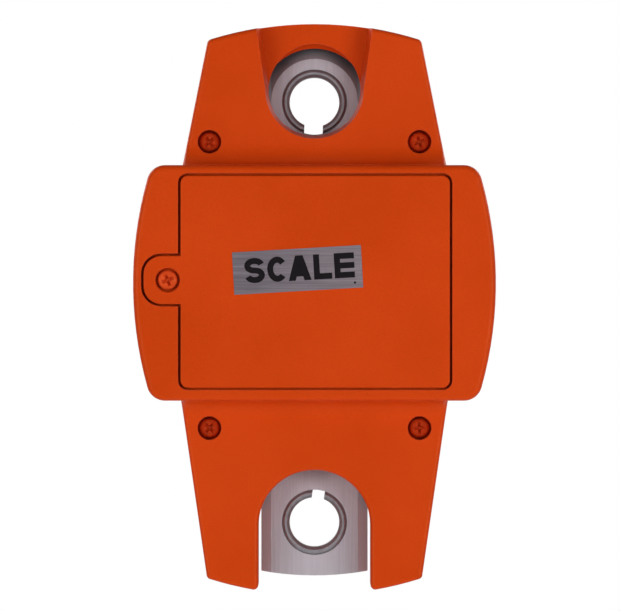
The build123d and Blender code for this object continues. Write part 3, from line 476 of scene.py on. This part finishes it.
def lettering(name, text, size, centre, face, boldness):
    """Print of a text on the display side, centred on (x, z)."""
    curve = bpy.data.curves.new(name + "_curve", "FONT")
    curve.body = text
    curve.size = size
    curve.offset = boldness * size
    curve.extrude = PRINT / 2
    curve.align_x = "CENTER"
    curve.align_y = "CENTER"
    curve.resolution_u = 6
    holder = bpy.data.objects.new(name + "_holder", curve)
    bpy.context.scene.collection.objects.link(holder)
    mesh = evaluated_mesh(holder)
    bpy.data.objects.remove(holder)
    bpy.data.curves.remove(curve)
    mesh.name = name
    mesh.materials.clear()
    points = [v.co for v in mesh.vertices]
    middle_x = (min(p.x for p in points) + max(p.x for p in points)) / 2
    middle_y = (min(p.y for p in points) + max(p.y for p in points)) / 2
    upright = Matrix.Rotation(math.radians(180), 4, "Z") @ Matrix.Rotation(math.radians(90), 4, "X")
    to_place = Matrix.Translation((centre[0], face + PRINT / 2, centre[1]))
    mesh.transform(to_place @ upright @ Matrix.Translation((-middle_x, -middle_y, 0)))
    cleaned = bmesh.new()
    cleaned.from_mesh(mesh)
    bmesh.ops.remove_doubles(cleaned, verts=cleaned.verts, dist=MERGE)
    bmesh.ops.recalc_face_normals(cleaned, faces=cleaned.faces)
    cleaned.to_mesh(mesh)
    cleaned.free()
    return mesh


def flat_print(name, shapes, place_point, low, high):
    """Closed thin print over the joined area of overlapping flat shapes."""
    corners = [Vector(p) for shape in shapes for p in shape]
    outlines, start = [], 0
    for shape in shapes:
        outlines.append(list(range(start, start + len(shape))))
        start += len(shape)
    inside_only, tolerance, sliver = 1, 1e-6, 2e-6
    points, _, triangles, _, _, _ = delaunay_2d_cdt(corners, [], outlines, inside_only, tolerance)
    film = bmesh.new()
    rings = [[film.verts.new(place_point(p, depth)) for p in points] for depth in (low, high)]
    rim = {}
    for triangle in triangles:
        film.faces.new([rings[0][i] for i in triangle])
        film.faces.new([rings[1][i] for i in reversed(triangle)])
        for a, b in zip(triangle, triangle[1:] + triangle[:1]):
            if (b, a) in rim:
                del rim[(b, a)]
            else:
                rim[(a, b)] = True
    for a, b in rim:
        film.faces.new((rings[0][b], rings[0][a], rings[1][a], rings[1][b]))
    loose = [v for v in film.verts if not v.link_faces]
    bmesh.ops.delete(film, geom=loose, context="VERTS")
    bmesh.ops.dissolve_degenerate(film, dist=sliver, edges=film.edges)
    return to_mesh(name, film)


def middle_of(node):
    low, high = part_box(node)
    return (Vector(low) + Vector(high)) / 2


# ------------------------------------------------------------------ print on the capacity label
def stroke(points, width):
    """Quads that give a line of points a width, with mitred joints."""
    sides, mitre_limit = [], 0.5
    for i, point in enumerate(points):
        before = Vector(points[max(i - 1, 0)])
        after = Vector(points[min(i + 1, len(points) - 1)])
        along = (after - before).normalized()
        reach = width / 2
        if 0 < i < len(points) - 1:
            first = (Vector(point) - before).normalized()
            reach = width / 2 / max(mitre_limit, first.dot(along))
        across = Vector((-along.y, along.x)) * reach
        sides.append((Vector(point) + across, Vector(point) - across))
    return [(a[0], a[1], b[1], b[0]) for a, b in zip(sides, sides[1:])]


def block_letters(height, weight):
    """Heavy upright capitals as lists of overlapping flat shapes, each with its width."""
    wide, half = height * 0.80, weight / 2
    narrow = wide * 0.90
    middle, top = height / 2, height - half
    peak, foot, crown = wide * 0.57, weight * 1.16, weight * 0.62
    rung, rung_start, rung_end = height * 0.28, wide * 0.3, wide * 0.84
    curl = (height - weight) / 4

    def bowl(centre, reach, start, end, step):
        """Part of an oval as wide as a letter, angles in degrees."""
        angles = [math.radians(d) for d in range(start, end, step)]
        return [(wide / 2 + (wide / 2 - half) * math.cos(a), centre + reach * math.sin(a)) for a in angles]

    def level(z, start, end):
        return stroke([(start, z), (end, z)], weight)

    upright = stroke([(half, 0), (half, height)], weight)
    snake = bowl(top - curl, curl, 14, 262, 8) + bowl(half + curl, curl, 82, -167, -8)
    left_leg = ((0, 0), (foot, 0), (peak + crown, height), (peak - crown, height))
    right_leg = tuple((2 * peak - x, z) for x, z in reversed(left_leg))
    return {
        "L": (upright + level(half, 0, narrow), narrow),
        "E": (upright + level(half, 0, wide) + level(middle, 0, wide) + level(top, 0, wide), wide),
        "A": ([left_leg, right_leg] + level(rung, rung_start, rung_end), 2 * peak),
        "C": (stroke(bowl(middle, middle - half, 38, 323, 5), weight), wide),
        "S": (stroke(snake, weight), wide),
    }


def build_label_print():
    """A plain word in heavy capitals and a small dot of ink, both turned with the label."""
    middle = middle_of("capacity_label")
    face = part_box("capacity_label")[0].y
    low, high = face - PRINT / 2, face + PRINT / 2
    height, weight, gap = 7.3 * MM, 1.75 * MM, 0.75 * MM
    word, tuck = "SCALE", 0.55 * MM     # the sloping A moves in towards the letter before it
    rightward, upward = 0.85 * MM, 0.55 * MM
    dot_centre, dot_radius = (16.4 * MM, -4.6 * MM), 0.35 * MM
    letters = block_letters(height, weight)
    total = sum(letters[c][1] for c in word) + gap * (len(word) - 1)
    shapes, pen = [], rightward - total / 2
    for letter in word:
        pen -= tuck if letter == "A" else 0
        corner = Vector((pen, upward - height / 2))
        shapes += [tuple(Vector(p) + corner for p in shape) for shape in letters[letter][0]]
        pen += letters[letter][1] + gap

    def on_label(point, depth):
        u = point.x * math.cos(LABEL_TURN) - point.y * math.sin(LABEL_TURN)
        v = point.x * math.sin(LABEL_TURN) + point.y * math.cos(LABEL_TURN)
        return (middle.x + u, depth, middle.z + v)

    for name, marks in (("label_word", shapes), ("print_dot", [dot_outline(dot_centre, dot_radius)])):
        place(name, flat_print(name, marks, on_label, low, high), "battery_cover", "label_tape", black_ink)


# ------------------------------------------------------------------ display
def segment_outline(kind, width, height, bar, gap):
    """Outline of one seven-segment bar in the digit's own frame, from its lower left corner."""
    low, mid, top = bar / 2, height / 2, height - bar / 2
    left, right = bar / 2, width - bar / 2
    ends = {
        "a": ((left, top), (right, top)),
        "b": ((right, mid), (right, top)),
        "c": ((right, low), (right, mid)),
        "d": ((left, low), (right, low)),
        "e": ((left, low), (left, mid)),
        "f": ((left, mid), (left, top)),
    }[kind]
    start, end = Vector(ends[0]), Vector(ends[1])
    along = (end - start).normalized()
    across = Vector((-along.y, along.x)) * bar / 2
    start, end = start + along * gap, end - along * gap
    tip = along * bar / 2
    return [start, start + tip + across, end - tip + across, end, end - tip - across, start + tip - across]


def build_reading():
    """Two zeros, a decimal point and the unit behind the window."""
    glass = middle_of("lcd_glass")
    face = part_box("lcd_glass")[1].y
    digit_width, digit_height, slant = 5.6 * MM, 10.4 * MM, 0.09
    bar, bar_gap = 1.15 * MM, 0.12 * MM
    first_left, pitch = 2.0 * MM, 8.0 * MM
    dot_right, dot_radius = 6.9 * MM, 0.5 * MM
    unit_size, unit_boldness = 5.0 * MM, 0.01
    unit_place = (glass.x - 21.0 * MM, glass.z - 2.6 * MM)
    shape = bmesh.new()

    def mark(outline):
        """Marks read from the display side, so their right is towards lower X."""
        prism(shape, [(glass.x - u, glass.z + v) for u, v in outline], face, face + PRINT)

    for left in (first_left, first_left + pitch):
        for kind in "abcdef":
            points = segment_outline(kind, digit_width, digit_height, bar, bar_gap)
            mark([(left + p.x + slant * p.y, p.y - digit_height / 2) for p in points])
    mark(dot_outline((first_left + dot_right, -digit_height / 2 + dot_radius), dot_radius))
    place("lcd_digits", to_mesh("lcd_digits", shape), "scale_body", "lcd_face", segment_ink)
    unit = lettering("lcd_unit", "kg", unit_size, unit_place, face, unit_boldness)
    place("lcd_unit", unit, "scale_body", "lcd_face", segment_ink)


# ------------------------------------------------------------------ printed key panel
def build_panel_print():
    """A white line round the window, an orange one round the panel, and a caption over each key."""
    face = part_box("front_panel")[1].y
    caption_size, caption_lift, caption_boldness = 3.1 * MM, 9.0 * MM, 0.012
    for name, node, size, corner, line, material in (
        ("window_frame_print", "lcd_glass", (56.0 * MM, 21.6 * MM), 2.6 * MM, 0.6 * MM, white_ink),
        ("panel_border_print", "front_panel", (73.6 * MM, 52.6 * MM), 2.8 * MM, 0.5 * MM, orange_ink),
    ):
        centre = (middle_of(node).x, middle_of(node).z)
        outer = rounded_box(centre, size, corner)
        inner = rounded_box(centre, (size[0] - 2 * line, size[1] - 2 * line), corner - line)
        shape = bmesh.new()
        ribbon(shape, outer, inner, face, face + PRINT)
        place(name, to_mesh(name, shape), "scale_body", "panel_film", material)
    for word, key_name in (("ON/OFF", "power"), ("ZERO", "zero"), ("HOLD", "hold")):
        key = middle_of("button_" + key_name)
        name = "caption_" + key_name
        caption = lettering(name, word, caption_size, (key.x, key.z + caption_lift), face, caption_boldness)
        place(name, caption, "scale_body", "panel_film", white_ink)


def power_sign(name, key, low, high):
    """Ring open at the top, with a bar in the opening."""
    centre = (key.x, key.z)
    ring_outer, ring_inner = 2.3 * MM, 1.75 * MM
    ring_start, ring_end, steps = 122, 418, 24
    bar_size, bar_corner, bar_lift = (0.55 * MM, 2.6 * MM), 0.2 * MM, 1.5 * MM
    sign = bmesh.new()
    ring = arc_points(centre, ring_outer, ring_start, ring_end, steps)
    ring += arc_points(centre, ring_inner, ring_end, ring_start, steps)
    prism(sign, ring, low, high)
    prism(sign, rounded_box((key.x, key.z + bar_lift), bar_size, bar_corner), low, high)
    return to_mesh(name, sign)


def zero_sign(name, key, low, high):
    """Narrow zero between two arrowheads that point at it."""
    outer_size, inner_size = (1.0 * MM, 1.6 * MM), (0.55 * MM, 1.1 * MM)
    tip_reach, back_reach, half_back = 1.6 * MM, 2.7 * MM, 0.8 * MM
    steps = 32
    turns = [2 * math.pi * k / steps for k in range(steps)]
    outer, inner = (
        [(key.x + wide * math.cos(a), key.z + tall * math.sin(a)) for a in turns]
        for wide, tall in (outer_size, inner_size)
    )
    sign = bmesh.new()
    ribbon(sign, outer, inner, low, high)
    for side in (-1, 1):
        tip, back = key.x + side * tip_reach, key.x + side * back_reach
        prism(sign, [(tip, key.z), (back, key.z + half_back), (back, key.z - half_back)], low, high)
    return to_mesh(name, sign)


def hold_sign(name, key, low, high):
    """Letter made of two uprights and a bar."""
    upright_size, upright_corner, upright_reach = (0.6 * MM, 3.2 * MM), 0.15 * MM, 0.95 * MM
    bar_size, bar_corner = (1.6 * MM, 0.55 * MM), 0.1 * MM
    bars = [rounded_box((side * upright_reach, 0), upright_size, upright_corner) for side in (-1, 1)]
    bars.append(rounded_box((0, 0), bar_size, bar_corner))

    def on_key(point, depth):
        return (key.x + point[0], depth, key.z + point[1])

    return flat_print(name, bars, on_key, low, high)


def build_key_icons():
    """One sign printed on the top of each key, moving with it."""
    for key_name, build_sign in (("power", power_sign), ("zero", zero_sign), ("hold", hold_sign)):
        node, name = "button_" + key_name, "icon_" + key_name
        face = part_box(node)[1].y
        mesh = build_sign(name, middle_of(node), face - PRINT / 2, face + PRINT)
        place(name, mesh, key_name + "_button", slots[node], white_ink)


# ------------------------------------------------------------------ battery cells
def build_cells():
    """Three AA cells: metal can, shrink sleeve with a copper band, and printed signs."""
    low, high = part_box("battery_cells")
    radius = (high.y - low.y) / 2
    axis_y = (high.y + low.y) / 2
    pitch = (high.z - low.z - 2 * radius) / 2
    nub, length, band_length = 1.3 * MM, 49.0 * MM, 13.0 * MM
    shift = (high.x - low.x) / 2 - length / 2 - nub
    minus, plus = -length / 2, length / 2
    skin, film = radius - 0.02 * MM, 0.02 * MM
    under_sleeve = 6.85 * MM
    plus_place, minus_place = plus - 17.0 * MM, minus + 6.0 * MM
    sign_reach, sign_width, sunk = 1.8 * MM, 0.8 * MM, 0.05 * MM
    can_profile = [
        (minus, 0), (minus, 4.6), (minus + 0.25 * MM, 4.9), (minus + 0.25 * MM, 5.6), (minus, 5.8),
        (minus + 0.1 * MM, 6.3), (minus + 0.7 * MM, 6.8), (plus - 1.2 * MM, 6.8), (plus - 0.5 * MM, 6.3),
        (plus - 0.5 * MM, 3.4), (plus - 0.1 * MM, 3.1), (plus - 0.1 * MM, 2.75), (plus + 0.9 * MM, 2.6),
        (plus + nub, 2.2), (plus + nub, 0),
    ]
    sleeve_profile = [
        (minus + 0.35 * MM, 6.0 * MM), (minus + 0.12 * MM, 6.25 * MM), (minus + 0.3 * MM, skin - 0.2 * MM),
        (minus + 0.8 * MM, skin), (plus - band_length, skin), (plus - band_length + film, skin + film),
        (plus - 0.9 * MM, skin + film), (plus - 0.35 * MM, skin - 0.2 * MM), (plus - 0.2 * MM, 6.1 * MM),
        (plus - 0.4 * MM, 5.2 * MM), (plus - 0.9 * MM, under_sleeve), (minus + 0.9 * MM, under_sleeve),
        (minus + 0.35 * MM, 6.0 * MM),
    ]
    band_rows = [0, 0, 0, 0, 1, 1, 1, 1, 1, 0, 0, 0]
    for row in range(3):
        z = high.z - radius - row * pitch
        sign = -1 if row == 1 else 1

        def point(along, across, up, z=z, sign=sign):
            return (sign * (shift + along), axis_y + across, z + up)

        def on_sleeve(spot, lift, z=z):
            return (spot.x, axis_y - math.sqrt((radius + lift) ** 2 - spot.y**2), z + spot.y)

        can = bmesh.new()
        lathe(can, [(along, r * MM) for along, r in can_profile], point)
        place(
            f"cell_can_{row + 1}", smooth(to_mesh("cell_can", can)), "scale_body", "contact_nickel",
            cell_can, stands_for=("battery_cells",) if row == 0 else (),
        )
        sleeve = bmesh.new()
        lathe(sleeve, sleeve_profile, point, material_of=band_rows)
        bmesh.ops.remove_doubles(sleeve, verts=sleeve.verts, dist=MERGE)
        place(
            f"cell_sleeve_{row + 1}", smooth(to_mesh("cell_sleeve", sleeve)), "scale_body", "battery_wrap",
            finishes["battery_wrap"], sleeve_band,
        )
        plus_x, minus_x = sign * (shift + plus_place), sign * (shift + minus_place)
        signs = stroke([(plus_x - sign_reach, 0), (plus_x + sign_reach, 0)], sign_width)
        for x in (plus_x, minus_x):
            signs += stroke([(x, sign_reach * k / 8) for k in range(-8, 9)], sign_width)
        sign_mesh = flat_print("cell_signs", signs, on_sleeve, -sunk, PRINT)
        place(f"cell_signs_{row + 1}", sign_mesh, "scale_body", "battery_wrap", white_ink)


# ------------------------------------------------------------------ screws with a real cross and thread
def cross_cutter(size, depth, turn, to_point):
    """Cross-shaped spike that narrows with depth, in a screw head's frame."""
    wing_share, web_share = 0.5, 0.13
    wing, web = size * wing_share, size * web_share
    start, start_grow, end_grow = -0.3 * MM, 1.12, 0.42
    outline = [(wing, web), (web, web), (web, wing), (-web, wing), (-web, web), (-wing, web)]
    outline += [(-x, -y) for x, y in outline]
    cutter = bmesh.new()
    rings = []
    for along, grow in ((start, start_grow), (depth, end_grow)):
        ring = []
        for x, y in outline:
            u = (x * math.cos(turn) - y * math.sin(turn)) * grow
            v = (x * math.sin(turn) + y * math.cos(turn)) * grow
            ring.append(cutter.verts.new(to_point(along, u, v)))
        rings.append(ring)
    count = len(outline)
    for i in range(count):
        j = (i + 1) % count
        cutter.faces.new((rings[0][i], rings[0][j], rings[1][j], rings[1][i]))
    cutter.faces.new(rings[0])
    cutter.faces.new(reversed(rings[1]))
    return to_mesh("cross_cutter", cutter)


def cut(mesh, tool):
    """The mesh with the tool's form taken out of it."""
    target = bpy.data.objects.new("target", mesh)
    cutter = bpy.data.objects.new("cutter", tool)
    for thing in (target, cutter):
        bpy.context.scene.collection.objects.link(thing)
    modifier = target.modifiers.new("cut", "BOOLEAN")
    modifier.operation = "DIFFERENCE"
    modifier.solver = "EXACT"
    modifier.object = cutter
    result = evaluated_mesh(target)
    for thing in (target, cutter):
        bpy.data.objects.remove(thing)
    result.materials.clear()
    return result


def thread_mesh(start, length, to_point):
    """Rolled thread that thins out towards its end."""
    pitch, core, crest, taper = 0.5 * MM, 1.2 * MM, 0.28 * MM, 0.6 * MM
    steps, rise = 24, pitch / 8
    thread = bmesh.new()
    rings = []
    for row in range(int(length / rise) + 1):
        along = row * rise
        tip = 1.0 if along < length - taper else (length - along) / taper
        ring = []
        for k in range(steps):
            angle = 2 * math.pi * k / steps
            phase = (along / pitch - k / steps) % 1.0
            radius = core + crest * max(0.0, tip) * (1 - abs(2 * phase - 1))
            spot = to_point(start + along, radius * math.cos(angle), radius * math.sin(angle))
            ring.append(thread.verts.new(spot))
        rings.append(ring)
    for first, second in zip(rings, rings[1:]):
        for k in range(steps):
            n = (k + 1) % steps
            thread.faces.new((first[k], first[n], second[n], second[k]))
    thread.faces.new(rings[0])
    thread.faces.new(reversed(rings[-1]))
    return to_mesh("screw_thread", thread)


def screw_mesh(name, centre, head_top, shank_end, turn):
    """M3 pan head screw along +Y: domed head with a cross recess, and a rolled thread."""
    head_height, rim = 2.0 * MM, 0.15 * MM
    dome_depth, dome_rise, dome_reach = 0.95 * MM, 0.8 * MM, 0.75 * MM
    cross_size, cross_depth, overlap = 3.9 * MM, 1.35 * MM, 0.05 * MM
    steps, sharp_edge = 64, math.radians(40)

    def point(along, across, up):
        return (centre[0] + across, head_top + along, centre[1] + up)

    profile = [(0, 0), (0.02 * MM, 1.2 * MM), (0.12 * MM, 1.9 * MM)]
    for degrees in (75, 55, 35, 15, 0):
        a = math.radians(degrees)
        radius = SCREW_HEAD_RADIUS - dome_reach * (1 - math.cos(a))
        profile.append((dome_depth - dome_rise * math.sin(a), radius))
    profile += [(head_height - rim, SCREW_HEAD_RADIUS), (head_height, SCREW_HEAD_RADIUS - rim)]
    profile.append((head_height, 0))
    head = bmesh.new()
    lathe(head, profile, point, steps)
    whole = bmesh.new()
    whole.from_mesh(cut(to_mesh("screw_head", head), cross_cutter(cross_size, cross_depth, turn, point)))
    whole.from_mesh(thread_mesh(head_height - overlap, shank_end - head_top - head_height, point))
    return smooth(to_mesh(name, whole), sharp_edge)


def build_screws():
    """Four housing screws and the door screw, each stopped at its own turn."""
    low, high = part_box("housing_screws")
    columns = (low.x + SCREW_HEAD_RADIUS, high.x - SCREW_HEAD_RADIUS)
    rows = (high.z - SCREW_HEAD_RADIUS, low.z + SCREW_HEAD_RADIUS)
    spots = [(x, z) for z in rows for x in columns]
    for number, (spot, degrees) in enumerate(zip(spots, (40, 20, 48, 5)), 1):
        name = f"housing_screw_{number}"
        mesh = screw_mesh(name, spot, low.y, high.y, math.radians(degrees))
        place(
            name, mesh, "scale_body", "screw_coat", finishes["screw_coat"],
            stands_for=("housing_screws",) if number == 1 else (),
        )
    low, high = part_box("door_screw")
    middle = middle_of("door_screw")
    name = "door_screw_threaded"
    mesh = screw_mesh(name, (middle.x, middle.z), low.y, high.y, math.radians(22))
    place(name, mesh, "cover_screw", "orange_coat", door_screw_coat, stands_for=("door_screw",))


# ------------------------------------------------------------------ small parts on the display board
def build_board_parts():
    """Legs of the two chips, a row of resistors and a row of capacitors."""
    board_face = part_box("main_board")[0].y

    def plate(shape, x, z, size, corner, steps, height):
        """A small block on the board, in millimetres."""
        outline = rounded_box((x * MM, z * MM), (size[0] * MM, size[1] * MM), corner * MM, steps)
        prism(shape, outline, board_face - height * MM, board_face)

    leg_length, leg_width, leg_height = 1.0, 0.34, 0.28
    leg_pitch, leg_reach, leg_margin = 0.8, 0.45, 0.6
    fine_corner, body_corner = 0.08, 0.12
    legs = bmesh.new()
    for chip_x, chip_z, width, height, all_round in ((-24, -46, 10, 10, True), (-24, -66, 5, 6.2, False)):
        count = int((height - 2 * leg_margin) / leg_pitch)
        for side in (-1, 1):
            for k in range(count + 1):
                step = (k - count / 2) * leg_pitch
                x = chip_x + side * (width / 2 + leg_reach)
                plate(legs, x, chip_z + step, (leg_length, leg_width), fine_corner, 1, leg_height)
                if all_round:
                    z = chip_z + side * (height / 2 + leg_reach)
                    plate(legs, chip_x + step, z, (leg_width, leg_length), fine_corner, 1, leg_height)
    place("chip_legs", to_mesh("chip_legs", legs), "scale_body", "contact_nickel", solder)

    body_size, end_size, end_reach = (1.3, 1.2), (0.4, 1.24), 0.85
    body_height, end_height = 0.6, 0.62
    for name, material, spots in (
        ("board_resistors", resistor_black, [(-12 + 3.2 * k, -58 - 2.4 * (k % 2)) for k in range(8)]),
        ("board_capacitors", capacitor_tan, [(-34 + 2.8 * k, -37) for k in range(6)]),
    ):
        bodies = bmesh.new()
        ends = bmesh.new()
        for x, z in spots:
            plate(bodies, x, z, body_size, body_corner, 2, body_height)
            for side in (-1, 1):
                plate(ends, x + side * end_reach, z, end_size, fine_corner, 2, end_height)
        place(name, to_mesh(name, bodies), "scale_body", "chip_black", material)
        place(name + "_ends", to_mesh(name + "_ends", ends), "scale_body", "contact_nickel", solder)


build_label_print()
build_reading()
build_panel_print()
build_key_icons()
build_cells()
build_screws()
build_board_parts()


# ------------------------------------------------------------------ stage, light and camera
def build_stage():
    """Pale round floor below the hanging scale, which throws only a little light up at it."""
    drop, floor_radius = 0.50, 2.6
    glow, glow_to_camera = 0.05, 0.70
    shape = bmesh.new()
    bmesh.ops.create_circle(shape, cap_ends=True, radius=floor_radius, segments=128)
    mesh = bpy.data.meshes.new("studio_floor")
    shape.to_mesh(mesh)
    shape.free()
    floor = bpy.data.objects.new("studio_floor", mesh)
    floor.location.z = cad_box[0].z - drop
    bpy.context.scene.collection.objects.link(floor)
    s = Shader("floor_paint", (0.88, 0.88, 0.88), roughness=0.7)
    pale = s.clouds(4, 2, (0.87, 0.87, 0.87), (0.90, 0.90, 0.90))
    seen = s.add("ShaderNodeLightPath").outputs["Is Camera Ray"]
    strength = s.spread(seen, 0.0, 1.0, glow, glow_to_camera)
    s.finish(Base_Color=pale, Emission_Color=pale, Emission_Strength=strength)
    mesh.materials.append(s.material)


def build_world():
    """White backdrop for the camera; the object gets an even light, dimmer from above."""
    world = bpy.data.worlds.new("studio")
    bpy.context.scene.world = world
    world.use_nodes = True
    tree = world.node_tree

    def add(kind, **inputs):
        made = tree.nodes.new(kind)
        for key, value in inputs.items():
            made.inputs[key.replace("_", " ")].default_value = value
        return made

    backdrop = add("ShaderNodeBackground", Color=(1, 1, 1, 1), Strength=1.0)
    fill = add("ShaderNodeBackground", Color=(1, 1, 1, 1))
    direction = add("ShaderNodeTexCoord").outputs["Generated"]
    height = add("ShaderNodeSeparateXYZ")
    tree.links.new(direction, height.inputs[0])
    dimming = add("ShaderNodeMapRange", From_Min=-0.2, From_Max=1.0, To_Min=0.41, To_Max=0.05)
    tree.links.new(height.outputs["Z"], dimming.inputs["Value"])
    tree.links.new(dimming.outputs["Result"], fill.inputs["Strength"])
    blend = add("ShaderNodeMixShader")
    tree.links.new(add("ShaderNodeLightPath").outputs["Is Camera Ray"], blend.inputs[0])
    tree.links.new(fill.outputs[0], blend.inputs[1])
    tree.links.new(backdrop.outputs[0], blend.inputs[2])
    tree.links.new(blend.outputs[0], tree.nodes["World Output"].inputs["Surface"])


def softbox(name, spot, target, width, height, power):
    light = bpy.data.lights.new(name, "AREA")
    light.shape = "RECTANGLE"
    light.size = width
    light.size_y = height
    light.energy = power
    lamp = bpy.data.objects.new(name, light)
    lamp.location = spot
    lamp.rotation_euler = (Vector(target) - Vector(spot)).to_track_quat("-Z", "Y").to_euler()
    lamp.visible_camera = False
    bpy.context.scene.collection.objects.link(lamp)


def build_lights():
    """Two softboxes in front at the object's height, two higher behind it, and a weak one on top."""
    middle = (cad_box[0] + cad_box[1]) / 2
    for side, name, power in ((-1, "left", 5.0), (1, "right", 5.65)):
        front = (side * 0.75, -1.05, middle.z + 0.01)
        back = (side * 0.95, 0.85, middle.z + 0.6)
        softbox(name + "_front_softbox", front, middle, width=0.6, height=0.38, power=power)
        softbox(name + "_back_softbox", back, middle, width=1.0, height=0.9, power=8.5)
    softbox("top_softbox", (0, 0.1, 1.1), middle, width=0.9, height=0.9, power=0.6)


def build_camera():
    """Straight on to the battery side, from far away, framed on the photograph's 620 by 611 frame."""
    frame_width, distance, sensor_width = 0.1798, 3.2, 36.0
    aim_x, aim_z, behind_door_face = -1.3 * MM, -59.3 * MM, 3.5 * MM
    camera = bpy.data.objects.new("camera", bpy.data.cameras.new("camera"))
    camera.data.sensor_width = sensor_width
    camera.data.lens = sensor_width * distance / frame_width
    camera.data.clip_start = 0.1
    camera.data.clip_end = 50.0
    camera.location = (aim_x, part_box("battery_door")[0].y + behind_door_face - distance, aim_z)
    camera.rotation_euler = (math.radians(90), 0, 0)
    bpy.context.scene.collection.objects.link(camera)
    bpy.context.scene.camera = camera
    bpy.context.scene.view_settings.view_transform = "Standard"


build_stage()
build_world()
build_lights()
build_camera()
